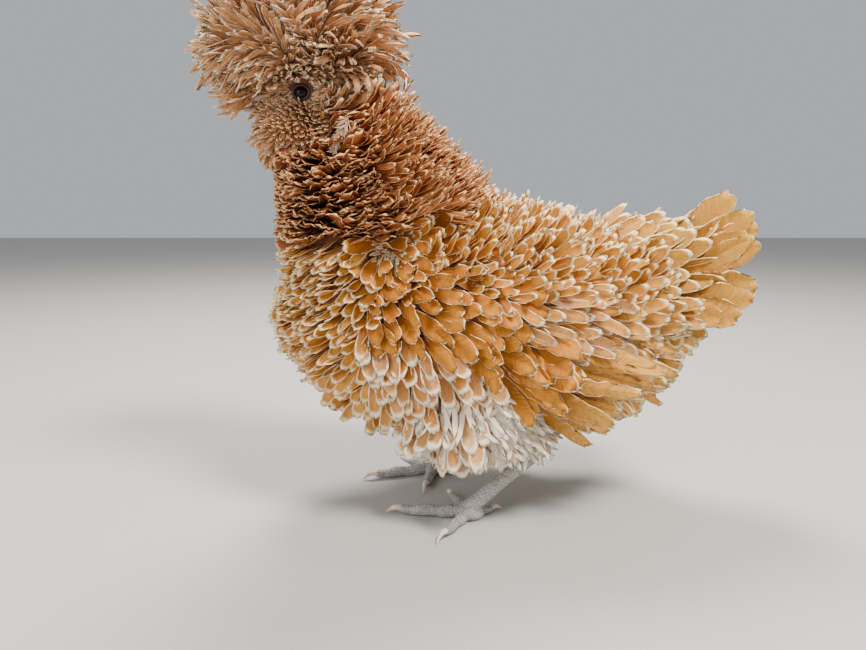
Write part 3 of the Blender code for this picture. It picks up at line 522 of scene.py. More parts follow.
def feather_mesh(name, f, finish, node, outline, stations, columns, thick, later=0):
    """Feathers as closed thin shells, an upper face and a lower one that shares its rim, for a node."""
    draw = dice(later)
    s = np.linspace(0, 1, stations) ** 0.9
    a = np.sin(np.linspace(-1, 1, columns) * math.pi / 2)
    points, face, values = feather_grid(f, outline, s, a, draw)
    count = len(points)
    inner = (slice(None), slice(1, -1), slice(1, -1))
    body = thick * (1 + 1.6 * (np.abs(a[1:-1]) < 0.1))
    lower = points[inner] - face[:, 1:-1, None] * body[:, None]
    every = np.concatenate([points.reshape(count, -1, 3), lower.reshape(count, -1, 3)], 1)
    top = np.arange(stations * columns).reshape(stations, columns)
    under = top.copy()
    under[1:-1, 1:-1] = top.size + np.arange((stations - 2) * (columns - 2)).reshape(stations - 2, -1)
    one = [stacked(g[:-1, :-1], g[:-1, 1:], g[1:, 1:], g[1:, :-1]).reshape(-1, 4) for g in (top, under)]
    one = np.vstack([one[0], one[1][:, ::-1]])
    quads = (one + (np.arange(count) * every.shape[1])[:, None, None]).reshape(-1, 4)
    made = quad_object(name, every.reshape(-1, 3), quads, finish)

    def spread_out(value):
        full = np.broadcast_to(value, (count, stations, columns))
        return np.concatenate([full.reshape(count, -1), full[inner].reshape(count, -1)], 1)

    for key, value in values.items():
        point_value(made, key, spread_out(value))
    # Each feather has a small island of its own in the unwrap, round the place of its root.
    shares = stacked(spread_out(a) * 0.5, spread_out(s[:, None]) - 0.5)
    bake_map(made, (f["place"][:, None] * 0.996 + 0.002 + 0.003 * shares).reshape(-1, 2))
    replace_nodes(made, "plumage", node)


def both_sides(name, f, *how):
    """The same for a table that runs over both sides of the bird, with one piece for each side."""
    for side, foot in SIDES:
        half = {key: value[f["root"][:, 1] * side > 0] for key, value in f.items()}
        feather_mesh(f"{name}_{foot}", half, *how)


# Shader nodes


def link_or_set(tree, socket, value):
    if isinstance(value, bpy.types.NodeSocket):
        tree.links.new(value, socket)
    elif isinstance(value, tuple):
        socket.default_value = (*value, 1.0)
    else:
        socket.default_value = value


def add_math(tree, operation, *values):
    node = tree.nodes.new("ShaderNodeMath")
    node.operation = operation
    for socket, value in zip(node.inputs, values):
        link_or_set(tree, socket, value)
    return node.outputs[0]


def add_mix(tree, factor, first, second):
    node = tree.nodes.new("ShaderNodeMix")
    node.data_type = "RGBA"
    for socket, value in zip((node.inputs[0], node.inputs[6], node.inputs[7]), (factor, first, second)):
        link_or_set(tree, socket, value)
    return node.outputs[2]


def add_ramp(tree, value, low, high):
    """0 where value is under low, 1 over high, and smooth between."""
    node = tree.nodes.new("ShaderNodeMapRange")
    node.interpolation_type = "SMOOTHSTEP"
    for socket, given in zip(node.inputs, (value, low, high)):
        link_or_set(tree, socket, given)
    return node.outputs[0]


def add_noise(tree, vector, scale, detail):
    node = tree.nodes.new("ShaderNodeTexNoise")
    tree.links.new(vector, node.inputs["Vector"])
    link_or_set(tree, node.inputs["Scale"], scale)
    node.inputs["Detail"].default_value = detail
    return node.outputs[0]


def add_attribute(tree, name):
    node = tree.nodes.new("ShaderNodeAttribute")
    node.attribute_name = name
    return node.outputs["Fac"]


def add_place(tree):
    return tree.nodes.new("ShaderNodeTexCoord").outputs["Object"]


def add_group(tree, group):
    node = tree.nodes.new("ShaderNodeGroup")
    node.node_tree = group
    return node


def add_bump(tree, shader, height, strength, distance):
    node = tree.nodes.new("ShaderNodeBump")
    node.inputs["Strength"].default_value = strength
    node.inputs["Distance"].default_value = distance
    tree.links.new(height, node.inputs["Height"])
    tree.links.new(node.outputs[0], shader.inputs["Normal"])


def shader_group(name, inputs, outputs):
    """Turns a function that fills a node tree into one that gives the group of that name, built once."""

    def turn(fill):
        def group():
            tree = bpy.data.node_groups.get(name)
            if tree is None:
                tree = bpy.data.node_groups.new(name, "ShaderNodeTree")
                for label, value in inputs.items():
                    kind = "NodeSocketColor" if isinstance(value, tuple) else "NodeSocketFloat"
                    tree.interface.new_socket(label, in_out="INPUT", socket_type=kind).default_value = value
                for label in outputs:
                    kind = "NodeSocketColor" if label == "Color" else "NodeSocketFloat"
                    tree.interface.new_socket(label, in_out="OUTPUT", socket_type=kind)
                given = tree.nodes.new("NodeGroupInput").outputs
                fill(tree, given, tree.nodes.new("NodeGroupOutput").inputs)
            return tree

        return group

    return turn


@shader_group("barbs", {"Across": 0.0, "Reach": 0.0, "Tone": 0.5}, ("Streak", "Fine"))
def barb_group(tree, given, made):
    """Noise drawn out along the barbs, which leave the shaft at a slant: streaks and fine relief."""
    calc = partial(add_math, tree)
    slant = calc("SUBTRACT", given["Reach"], calc("MULTIPLY", calc("ABSOLUTE", given["Across"]), 1.1))
    where = tree.nodes.new("ShaderNodeCombineXYZ")
    tree.links.new(slant, where.inputs[0])
    tree.links.new(calc("MULTIPLY", given["Across"], 0.12), where.inputs[1])
    tree.links.new(calc("MULTIPLY", given["Tone"], 91.0), where.inputs[2])
    tree.links.new(add_noise(tree, where.outputs[0], 0.55, 2.0), made["Streak"])
    tree.links.new(add_noise(tree, where.outputs[0], 2.6, 2.0), made["Fine"])


@shader_group("lacing", {"Rim": 1.0, "Across": 0.0, "Along": 0.5, "Tone": 0.5, "Pale": 0.0, "Lace": 1.0,
                         "Streak": 0.5, "Deep": (0.2, 0.08, 0.02, 1), "Middle": (0.5, 0.22, 0.06, 1),
                         "Edge": (0.9, 0.8, 0.65, 1), "Shaft": (0.2, 0.08, 0.02, 1)}, ("Color",))
def lacing_and_root_shade_group(tree, given, made):
    """Feather colour: a deep base that darkens towards the root, partly its own colour and partly painted
    shade where feathers overlap, a clear middle, a pale shaft and a laced rim, more or less washed out.
    """
    calc = partial(add_math, tree)
    # Darker towards the root: the feather's own deeper base, and painted shade where its neighbours overlap
    # it.
    root_colour_and_shade = calc("ADD", calc("MULTIPLY", given["Along"], 1.15), -0.42)
    root_colour_and_shade = calc("ADD", root_colour_and_shade, calc("MULTIPLY", calc("SUBTRACT", given["Tone"], 0.5), 0.9))
    root_colour_and_shade = calc("ADD", root_colour_and_shade, calc("MULTIPLY", calc("SUBTRACT", given["Streak"], 0.5), 1.1))
    colour = add_mix(tree, add_ramp(tree, root_colour_and_shade, 0.0, 1.0), given["Deep"], given["Middle"])
    lace = calc("MULTIPLY", given["Lace"], calc("ADD", given["Streak"], 0.5))
    inner = calc("MULTIPLY", lace, 1.5)
    rim = calc("SUBTRACT", 1.0, add_ramp(tree, given["Rim"], calc("MULTIPLY", lace, 0.6), inner))
    wide = add_ramp(tree, given["Rim"], inner, calc("MULTIPLY", lace, 3.4))
    line = calc("MULTIPLY", calc("SUBTRACT", 1.0, wide), 0.4)
    colour = add_mix(tree, line, colour, given["Deep"])
    shaft = calc("SUBTRACT", 1.0, add_ramp(tree, calc("ABSOLUTE", given["Across"]), 0.15, 0.5))
    colour = add_mix(tree, calc("MULTIPLY", shaft, 0.4), colour, given["Shaft"])
    colour = add_mix(tree, given["Pale"], colour, given["Edge"])
    tree.links.new(add_mix(tree, rim, colour, given["Edge"]), made["Color"])


@shader_group("speckle", {"Coarse": 60.0, "Fine": 900.0}, ("Blotch", "Grain"))
def speckle_group(tree, given, made):
    """Two sizes of noise on the piece's own coordinates, for skin, scales and horn."""
    where = add_place(tree)
    tree.links.new(add_noise(tree, where, given["Coarse"], 4.0), made["Blotch"])
    tree.links.new(add_noise(tree, where, given["Fine"], 4.0), made["Grain"])


@shader_group("scales", {"Size": 600.0}, ("Tone", "Dome"))
def scale_group(tree, given, made):
    """Small rounded scales: cells on the piece's coordinates, each with a tone, and the grooves between."""
    where = add_place(tree)
    cells, edges = (tree.nodes.new("ShaderNodeTexVoronoi") for _ in range(2))
    edges.feature = "DISTANCE_TO_EDGE"
    for node in (cells, edges):
        tree.links.new(where, node.inputs["Vector"])
        tree.links.new(given["Size"], node.inputs["Scale"])
    tree.links.new(cells.outputs["Color"], made["Tone"])
    tree.links.new(add_ramp(tree, edges.outputs["Distance"], 0.0, 0.22), made["Dome"])


def start_material(name, roughness, **sockets):
    """A material with a Principled shader, whose plain numbers are set on its own sockets."""
    finish = bpy.data.materials.new(name)
    finish.use_nodes = True
    tree = finish.node_tree
    shader = tree.nodes["Principled BSDF"]
    shader.inputs["Roughness"].default_value = roughness
    for key, value in sockets.items():
        shader.inputs[key.replace("_", " ")].default_value = value
    return finish, tree, shader


def feather_finish(name, *colours):
    """Soft matt feather: lacing for its colour, with painted shade towards the root, and barbs for its
    streaks and relief.
    """
    colours = colours or FEATHER_COLOURS[name]
    finish, tree, shader = start_material(name, 0.7, Specular_IOR_Level=0.12, Sheen_Weight=0.02)
    labels = ("Rim", "Across", "Along", "Reach", "Tone", "Pale", "Lace")
    values = {label: add_attribute(tree, label.lower()) for label in labels}
    barbs = add_group(tree, barb_group())
    for socket in ("Across", "Reach", "Tone"):
        tree.links.new(values[socket], barbs.inputs[socket])
    lacing = add_group(tree, lacing_and_root_shade_group())
    for socket in ("Rim", "Across", "Along", "Tone", "Pale", "Lace"):
        tree.links.new(values[socket], lacing.inputs[socket])
    tree.links.new(barbs.outputs["Streak"], lacing.inputs["Streak"])
    for socket, colour in zip(("Deep", "Middle", "Edge", "Shaft"), (*colours, colours[1])):
        lacing.inputs[socket].default_value = (*colour, 1.0)
    tree.links.new(lacing.outputs["Color"], shader.inputs["Base Color"])
    add_bump(tree, shader, barbs.outputs["Fine"], 0.35, 0.0006)
    return finish


def blotched_finish(name, first, second, roughness, strength, distance, coarse, fine, **sockets):
    """Skin, horn or down: two colours in soft blotches, with a fine grain for relief."""
    finish, tree, shader = start_material(name, roughness, **sockets)
    speckle = add_group(tree, speckle_group())
    speckle.inputs["Coarse"].default_value = coarse
    speckle.inputs["Fine"].default_value = fine
    ramp = add_ramp(tree, speckle.outputs["Blotch"], 0.35, 0.65)
    tree.links.new(add_mix(tree, ramp, first, second), shader.inputs["Base Color"])
    add_bump(tree, shader, speckle.outputs["Grain"], strength, distance)
    return finish


def scaly_finish(name, groove, dark, light):
    """Scaled skin: dark grooves round cells of two greys, in soft blotches, each cell domed."""
    finish, tree, shader = start_material(name, 0.27, Specular_IOR_Level=0.6)
    scales, speckle = add_group(tree, scale_group()), add_group(tree, speckle_group())
    speckle.inputs["Coarse"].default_value = 150.0
    blotch = add_math(tree, "MULTIPLY", speckle.outputs["Blotch"], 0.6)
    tone = add_math(tree, "MULTIPLY_ADD", scales.outputs["Tone"], 0.5, blotch)
    plate = add_mix(tree, add_ramp(tree, tone, 0.25, 0.8), dark, light)
    tree.links.new(add_mix(tree, scales.outputs["Dome"], groove, plate), shader.inputs["Base Color"])
    add_bump(tree, shader, scales.outputs["Dome"], 0.5, 0.0004)
    return finish


def skin_finish_with_painted_shade():
    """Down in blotches of dark brown, which also paints the shade in the gaps between the feathers, cream
    under the belly, and dusky bare skin where "bare" says, darker round the eye as painted shade under the
    crest.
    """
    # The dark browns are the down's own colour and also painted shade for the gaps between the feathers.
    finish = blotched_finish("down", (0.12, 0.042, 0.014), (0.26, 0.11, 0.04), 0.9, 0.5, 0.001, 90.0, 700.0)
    tree = finish.node_tree
    base = tree.nodes["Principled BSDF"].inputs["Base Color"]
    height = tree.nodes.new("ShaderNodeSeparateXYZ")
    tree.links.new(add_place(tree), height.inputs[0])
    pale = add_ramp(tree, height.outputs["Z"], 0.105, 0.08)
    down = add_mix(tree, pale, base.links[0].from_socket, (0.72, 0.52, 0.33))
    # Round the eye the bare skin's dusky colour also paints the shade under the crest; by the bill it is the
    # skin's own.
    tree.links.new(add_mix(tree, add_attribute(tree, "bare"), down, (0.14, 0.065, 0.055)), base)
    return finish


def eye_finish():
    """A dark eye: rings by the angle from its middle, black pupil, brown iris and a darker rim."""
    finish, tree, shader = start_material("eye", 0.14, Specular_IOR_Level=0.12, Coat_Weight=0.16,
                                          Coat_Roughness=0.04)
    ring = add_attribute(tree, "ring")
    iris = add_mix(tree, add_ramp(tree, ring, 0.30, 0.36), (0.003, 0.002, 0.002), (0.016, 0.007, 0.005))
    colour = add_mix(tree, add_ramp(tree, ring, 0.62, 0.72), iris, (0.008, 0.005, 0.004))
    tree.links.new(colour, shader.inputs["Base Color"])
    return finish


# Settings


def colour_setting(name, description, default):
    return FloatVectorProperty(name=name, description=description, subtype="COLOR", default=default, min=0,
                               max=1)


def length_setting(name, description, default):
    return FloatProperty(name=name, description=description, default=default, min=5)


class HenPlumage(bpy.types.PropertyGroup):
    """Sizes in millimetres and colours of the feathers."""

    crest_length: length_setting("Crest feather", "Length of a crest feather", 39.0)
    hackle_length: length_setting("Neck feather", "Length of a neck feather", 31.0)
    body_length: length_setting("Body feather", "Length of a body feather", 37.0)
    seed: IntProperty(name="Seed", description="Start of the random draw", default=11)
    buff: colour_setting("Buff", "Middle of a body feather", (0.80, 0.375, 0.054))
    # The base colour also paints the shade towards each body feather's root.
    tawny: colour_setting("Tawny", "Base of a body feather", (0.38, 0.115, 0.018))
    cream: colour_setting("Cream", "Laced rim of a body feather", (1.0, 0.80, 0.46))


class HenFeet(bpy.types.PropertyGroup):
    """Colours of the bare parts."""

    slate: colour_setting("Slate", "Scales of the shanks", (0.56, 0.53, 0.49))
    horn: colour_setting("Horn", "Claws", (0.84, 0.68, 0.54))


class HenStage(bpy.types.PropertyGroup):
    """Floor and light."""

    floor: colour_setting("Floor", "Colour of the floor", (0.46, 0.455, 0.44))
    key_watts: FloatProperty(name="Key light", description="Strength of the main light", default=80.0, min=0)


def plumage():
    return bpy.context.scene.hen_plumage


def dice(step):
    """The random draw of one piece."""
    return np.random.default_rng(plumage().seed + step)


class HenOperator:
    """What the operators share."""

    bl_options = {"REGISTER", "UNDO"}


# Skin


def wing_shell(side):
    """A closed dome over the wing's body: rings at growing shares of its reach, on wing_skin and wing_bed."""
    angle = (np.arange(40) * 9.0)[None, :]
    reach = core_reach(angle) * np.linspace(0.03, 1, 12)[:, None]
    x, z = round_places(WING_CENTRE, reach, np.radians(angle))
    over = stacked(x, side * (wing_skin(x, z) - 1.5), z)
    under = stacked(x, side * (wing_bed(x, z) - 8), z)[::-1]
    return closed_tube(np.concatenate([over, under]))


class HEN_OT_skin(HenOperator, bpy.types.Operator):
    """Make the one skin under all the feathers"""

    bl_idname = "hen.skin"
    bl_label = "Skin and down"

    def execute(self, context):
        shells = [closed_tube(form.grid(40, 48)) for form in FORMS.values()]
        shells += [wing_shell(side) for side in (-1, 1)]
        made = new_object("skin", *joined(shells), skin_finish_with_painted_shade())
        remesh = made.modifiers.new("one skin", "REMESH")
        remesh.mode = "VOXEL"
        remesh.voxel_size = 0.003
        made.modifiers.new("even", "SMOOTH").iterations = 6
        graph = context.evaluated_depsgraph_get()
        whole = bpy.data.meshes.new_from_object(made.evaluated_get(graph))
        made.modifiers.clear()
        made.data = whole
        whole.shade_smooth()
        at = np.empty(len(whole.vertices) * 3, np.float32)
        whole.vertices.foreach_get("co", at)
        at = at.reshape(-1, 3) / MM - SHIFT
        x, y, z = at.T
        # Where the face is bare and dark: a strip before the eye, and a ring round the eye whose dark colour
        # also paints the shade under the crest.
        lore = np.exp(-((z - 331.0) / 3.0) ** 2) * (x < -104)
        point_value(made, "bare", np.clip(np.maximum(1.6 - from_eye(at)[0] / 7.0, lore), 0, 1))
        turn = np.arctan2(z - 170, x - 20) / (2 * math.pi) + 0.5
        bake_map(made, stacked(turn * 0.98 + 0.01, np.clip(y / 220 + 0.5, 0.01, 0.99)))
        replace_nodes(made, "plumage", "head", "neck", "torso", "crest", "beard", "tail", "thigh_left",
                      "thigh_right")
        return {"FINISHED"}


# Head


def from_eye(at):
    """How far points lie from the eye as seen from the side, and the angle at which they do."""
    return polar(at[:, 0], at[:, 2], (EYE_CENTRE[0], EYE_CENTRE[2]))


def crest_lie(at):
    """Away from the eye as seen from the side, parted to both sides along the crown."""
    way = at - (EYE_CENTRE[0], 0, EYE_CENTRE[2])
    way[:, 1] = np.sign(at[:, 1]) * 7
    return way


def muff_lie(at):
    """Down and forwards from the eye, in a swirl about the middle of the muff."""
    x, z = at[:, 0] - MUFF_CENTRE[0], at[:, 2] - MUFF_CENTRE[1]
    return stacked(-0.35 - 0.03 * z - 0.6 * ramp(at[:, 0], *MUFF_FRONT), 0, -0.9 - 0.012 * x)


class HEN_OT_crest(HenOperator, bpy.types.Operator):
    """Grow the globe of curled crest feathers and the brow under it"""

    bl_idname = "hen.crest"
    bl_label = "Crest"

    def execute(self, context):
        settings = plumage()
        draw = dice(0)
        finish = feather_finish("crest feather")
        crown = roots_on("crest", 2.75, draw)
        nape = roots_on("neck", 3.6, draw, lambda x, y, z: (z > NAPE_FOOT) & (x > -88))
        at, out, places = merged(crown, nape)
        reach, angle = from_eye(at)
        shown = (reach > CLEAR_OF_EYE["crest"]) & ((at[:, 2] > 336) | (at[:, 0] > -88))
        at, out, places, reach = pick(shown, at, out, places, reach)
        x, y, z = at.T
        low = ramp(x, -108, -26) * ramp(z, 378, -34)
        droop = stacked(-low * 30, 0, -low * 62)
        table = feathers(
            at, out, crest_lie(at) + droop, places, draw,
            length=np.clip(8 + 0.95 * (reach - 8), 8, settings.crest_length) + 7 * low + 4 * (x > -72),
            width=4.6, lift=40 - 10 * low - 30 * np.abs(out[:, 1]), curl=58 - 10 * low, cup=0.45, wave=0.6,
            frill=0.6, round=0.6, bend=wavy(at, 0.5, draw), fray=0.12, tone=0.62, lace=0.45, tipped=0.35,
            clump=0.42, roll=draw.normal(0, 22, len(at)),
        )
        both_sides("crest_feathers", table, finish, "crest", "broad", 9, 5, 0.2)
        at, out, places = roots_on("head", 2.25, draw, lambda x, y, z: (x > -127) & (x < -66), 0.4)
        reach, angle = from_eye(at)
        above = (reach > CLEAR_OF_EYE["brow"]) & (angle > -30) & (angle < 176)
        at, out, places, reach = pick(above, at, out, places, reach)
        table = feathers(
            at, out, crest_lie(at), places, draw, length=np.clip(5 + 1.05 * (reach - 7), 5, 28),
            width=np.clip(2.0 + 0.24 * (reach - 7), 2.0, 7), lift=18, curl=40, cup=0.5, wave=0.3, fray=0.05,
            tone=0.42, lace=0.35,
        )
        feather_mesh("brow_feathers", table, finish, "head", "hackle", 7, 5, 0.2)
        return {"FINISHED"}


class HEN_OT_beard(HenOperator, bpy.types.Operator):
    """Grow the beard, the muffs and the small feathers of the face"""

    bl_idname = "hen.beard"
    bl_label = "Beard and face"

    def execute(self, context):
        draw = dice(1)
        finish = feather_finish("beard feather")
        chin = roots_on("beard", 3.2, draw, lambda x, y, z: z < 328)
        cheek = roots_on("neck", 3.4, draw, lambda x, y, z: (z > 286) & (z < 328) & (x < -77))
        at, out, places = merged(chin, cheek)
        low, front = ramp(at[:, 2], 314, -28), ramp(at[:, 0], *MUFF_FRONT)
        table = feathers(
            at, out, muff_lie(at), places, draw, length=8.5 + 5.5 * low + 6 * front, width=3.4 + 1.2 * low,
            lift=26, curl=52 - 28 * front, cup=0.5, wave=0.36, frill=0.2, fray=0.1, tone=0.55, lace=0.32,
        )
        feather_mesh("beard_feathers", table, finish, "beard", "hackle", 7, 5, 0.2)
        at, out, places = roots_on("head", 2.0, draw, lambda x, y, z: (x > -129) & (x < -76), 0.4)
        x, y, z = at.T
        reach, angle = from_eye(at)
        under = (reach > CLEAR_OF_EYE["face"]) & ((angle < -30) | (angle > 165))
        bare = (np.abs(z - 331.5) < 1.6) & (x < -112)
        gape = (np.abs(z - 324.9) < 1.2) & (x < -117)
        at, out, places, reach = pick(under & ~bare & ~gape, at, out, places, reach)
        table = feathers(
            at, out, muff_lie(at), places, draw, length=np.clip(3.2 + 0.35 * (reach - 7), 3.2, 9),
            width=np.clip(1.5 + 0.12 * (reach - 7), 1.5, 3), lift=16, curl=38, cup=0.4, wave=0.2, fray=0.08,
            tone=0.35, lace=0.3,
        )
        feather_mesh("face_feathers", table, finish, "head", "hackle", 6, 5, 0.15)
        return {"FINISHED"}


# Neck and body


def grow_stray(draw):
    """The loose pale feather: barbs on both sides of its shaft, shorter towards its tip."""
    share = np.linspace(0, 1, STRAY_BARBS)
    root = STRAY_ROOT + STRAY_SHAFT * share[:, None] * STRAY_WAY + draw.normal(0, 0.4, (STRAY_BARBS, 3))
    lean = np.where(np.arange(STRAY_BARBS) % 2, 1.0, -1.0)[:, None] * (0.4, 0.0, -0.2)
    table = feathers(
        root, np.array([0.0, -1.0, 0.0]) + 0 * root, STRAY_WAY + lean, np.full((STRAY_BARBS, 2), 0.5), draw,
        length=9 - 4 * share, width=0.55, lift=20, curl=10, calm=0.8, bend=-0.3 * lean[:, 0], tone=0.5,
        lace=0.2, clump=0.0, tipped=2.0,
    )
    feather_mesh("stray_feather", table, feather_finish("stray feather"), "neck", "hackle", 7, 5, 0.1)


class HEN_OT_neck(HenOperator, bpy.types.Operator):
    """Grow the neck feathers: a standing ruff in front and combed hackles behind"""

    bl_idname = "hen.neck"
    bl_label = "Neck"

    def execute(self, context):
        settings = plumage()
        draw = dice(2)
        # Dark feathers, whose colour also paints the shade of the ruff.
        finish = feather_finish("neck feather")
        at, out, places = roots_on(
            "neck", 3.45, draw,
            lambda x, y, z: (z > neck_foot(x)) & (z < NAPE_FOOT) & ((z < 288) | (x > -78)))
        x, y, z = at.T
        low = ramp(z, 262, -50)
        sweep = np.clip((x - np.interp(z, [200, 260, 320], [-100, -93, -90])) / 22, -1, 1)
        back = ramp(x, np.interp(z, [200, 262, 320], [-20, -66, -76]), 16)
        aim = stacked(out[:, 0] + 0.85 * sweep, 0.75 * out[:, 1], 0.28 * sweep - 0.05 - 0.25 * low)
        slope = np.interp(z, [230, 280, 318], [-0.3, -0.1, 0.2])
        swept = stacked(1, 0, slope)
        part = back[:, None]
        table = feathers(
            at, unit(unit(aim) * (1 - part) + out * part), DOWNWARDS * (1 - part) + swept * part, places,
            draw, length=settings.hackle_length * (
                0.9 + 0.2 * low + 0.16 * np.minimum(sweep, 0) - 0.2 * (1 - np.abs(sweep)) + 0.42 * back),
            width=15 - 10.6 * back, lift=84 - 4 * low - 50 * back, curl=14 + 34 * back,
            bend=wavy(at, 0.2, draw), cup=draw.normal(-0.08, 0.08, len(at)), wave=0.2, frill=0.2, fray=0.05,
            calm=0.8, tone=0.36 + 0.36 * back, lace=0.4 + 0.2 * back, tipped=0.25, clump=0.16,
            roll=draw.normal(0, 9, len(at)),
        )
        both_sides("neck_feathers", table, finish, "neck", "broad", 8, 7, 0.2)
        grow_stray(draw)
        return {"FINISHED"}


class HEN_OT_body(HenOperator, bpy.types.Operator):
    """Grow the feathers of the breast, the back and the belly"""

    bl_idname = "hen.body"
    bl_label = "Breast, back and belly"

    def execute(self, context):
        settings = plumage()
        draw = dice(3)
        colours = (tuple(colour) for colour in (settings.tawny, settings.buff, settings.cream))
        finish = feather_finish("body feather", *colours)
        torso = roots_on("torso", 5.7, draw)
        neck = roots_on("neck", 5.7, draw, lambda x, y, z: (z < neck_foot(x) + 3) & (x < -46))
        at, out, places = merged(torso, neck)
        x, y, z = at.T
        low_front = (x < 20) & (z < 122) & (draw.uniform(0, 1, len(at)) < 0.45)
        bare = under_wing(x, y, z, np.select([x < -44, z > 160], [24, 18], 8)) | low_front
        at, out, places = pick(~bare & (x < 150), at, out, places)
        x, y, z = at.T
        back = ramp(out[:, 2], 0.25, 0.3) * (x > -30)
        flank = ramp(x, 20, 50) * (1 - back)
        front = (1 - flank) * (1 - back)
        low = ramp(z, 150, -60)
        breast_turn = np.interp(x, [-100, -60, -30, 0, 40, 80], [-168, -135, -104, -80, -60, -45])
        flank_turn = np.interp(z, [60, 100, 150, 200], [-55, -35, -14, 8])
        way = slope_way(front * breast_turn + flank * flank_turn + back * 12)
        share = 0.7 * ramp(x, -30, -30) * ramp(z, 110, 40)
        ruffled = draw.uniform(0, 1, len(at)) < share
        aim = unit(stacked(out[:, 0] - 0.7, 0.8 * out[:, 1], -0.3))
        out = np.where(ruffled[:, None], aim, out)
        way = np.where(ruffled[:, None], DOWNWARDS, way)
        front = front * ~ruffled
        rear = ramp(x, 70, 50) * ramp(z, 110, 30)
        keel = ramp(x, -70, -20) * ramp(z, 200, -25)
        table = feathers(
            at, out, way, places, draw,
            length=settings.body_length - 2 * back - 9 * ruffled - 10 * front + 19 * front * low + 8 * flank
            + 12 * rear - 3 * keel,
            width=8.6 + 5 * low * front + 3 * rear,
            lift=44 * back + 24 * front * (1 - 0.4 * low) + 12 * flank + 66 * ruffled,
            curl=34 * back + (34 - 24 * low) * front + 14 * flank + 24 * ruffled, cup=0.2, wave=0.26,
            frill=0.2, fray=0.06 + 0.06 * flank, calm=0.8, tone=0.76 - 0.2 * ramp(z, 170, 50) * (x < -30),
            lace=1.0 + 0.4 * low * front, clump=0.14, tipped=0.36, pale=0.12 * low * front + 0.08 * flank,
            roll=draw.normal(0, 10, len(at)),
        )
        both_sides("body_feathers", table, finish, "torso", "broad", 8, 7, 0.25)
        return {"FINISHED"}


class HEN_OT_fluff(HenOperator, bpy.types.Operator):
    """Grow the loose whitish down of the belly, in slender curved strands"""

    bl_idname = "hen.fluff"
    bl_label = "Belly down"

    def execute(self, context):
        draw = dice(4)
        finish = feather_finish("belly down")
        for side, foot in SIDES:
            torso = roots_on("torso", 4.2, draw, lambda x, y, z: (z < 104) & (y * side > 0) & (x > 8))
            thigh = roots_on(f"thigh_{foot}", 3.5, draw,
                             lambda x, y, z: (z > 50 + 0.25 * x) & ~under_wing(x, y, z, 12))
            at, out, places = merged(torso, thigh)
            thin = (at[:, 0] > 10) | (draw.uniform(0, 1, len(at)) < 0.3)
            at, out, places = pick(thin, at, out, places)
            x, y, z = at.T
            low = ramp(z, 80, -40)
            table = feathers(
                at, out, slope_way(np.interp(x, [0, 40, 80, 120], [-95, -72, -40, -28])), places, draw,
                length=(30 - 18 * low) * np.interp(x, [15, 45, 70, 110], [1, 0.76, 0.86, 1.15]), width=4.2,
                lift=16, curl=18, cup=0.2, wave=0.4, frill=0.6, fray=0.3, tone=0.7, lace=1.0,
                bend=draw.normal(0, 0.24, len(at)), pale=draw.uniform(0.3, 0.9, len(at)),
            )
            feather_mesh(f"belly_down_{foot}", table, finish, "torso", "fluff", 7, 5, 0.2, later=1)
        return {"FINISHED"}


class HEN_OT_thighs(HenOperator, bpy.types.Operator):
    """Grow the loose pale feathers of the thighs"""

    bl_idname = "hen.thighs"
    bl_label = "Thighs"

    def execute(self, context):
        finish = feather_finish("thigh feather")
        for side, foot in SIDES:
            draw = dice(20 + side)
            at, out, places = roots_on(
                f"thigh_{foot}", 7.2, draw,
                lambda x, y, z: (z > 58 + 0.4 * np.maximum(x - 10, 0)) & (x < 34) & ~under_wing(x, y, z, 6))
            x, y, z = at.T
            table = feathers(
                at, out, slope_way(np.interp(x, [0, 40, 90], [-95, -75, -55])), places, draw,
                length=np.clip(0.6 * (z - 26), 18, 36), width=12, lift=26, curl=12, cup=0.15, wave=0.3,
                frill=0.2, fray=0.08, tone=0.66, lace=1.5, tipped=0.3,
                pale=draw.uniform(0.0, 0.25, len(at)),
            )
            feather_mesh(f"thigh_feathers_{foot}", table, finish, f"thigh_{foot}", "broad", 8, 7, 0.3)
        return {"FINISHED"}


# Wings and tail


def wing_rings(draw):
    """Roots on arcs round the whorl, set wider apart the further they are from it, the first nearly rings."""
    arcs = []
    for row in range(14):
        radius = 4 + 8 * row + 0.1 * row**2
        more = math.exp(-0.8 * row)
        start, end = 34 + 140 * more, -120 - 50 * more
        count = max(4, int(math.radians(start - end) * radius / (8.6 + 0.03 * radius)))
        angle = np.linspace(start, end, count) + (row % 2) * (start - end) / count / 2
        arcs.append(round_places(WING_WHORL, radius, np.radians(angle + draw.normal(0, 0.7, count))))
    return merged(*arcs)


def wing_table(side, x, z, slope, draw, **looks):
    """A table of feathers on a wing's outer face, each along a slope."""
    at, out = wing_face(side, x, z)
    places = tile(stacked((x + 80) / 300 % 1, (z - 40) / 220 % 1), len(FORMS))
    return feathers(at, out, slope_way(slope), places, draw, **looks)


def lay_coverts(side, foot, draw, finish):
    """Overlapping coverts that fan out from the whorl, longer and wider with their distance from it."""
    x, z = wing_rings(draw)
    inside = on_wing(x, z, 10) & (x < 66 - 0.3 * (z - 150)) & (z > 158 - 0.29 * (x + 43))
    x, z = pick(inside, x, z)
    radius, angle = polar(x, z, WING_WHORL)
    table = wing_table(
        side, x, z, -4 - 0.31 * (30 - angle), draw, length=22 + 0.22 * radius, width=11 + 0.06 * radius,
        lift=15, curl=18, cup=0.02, wave=0.3, frill=0.26, round=0.65, fray=0.06,
        tone=0.55 + 0.1 * (radius > 60), lace=0.6, tipped=0.5, pale=0.8 * (radius < 9), calm=1.1,
    )
    feather_mesh(f"wing_coverts_{foot}", table, finish, f"wing_{foot}", "broad", 8, 7, 0.3)


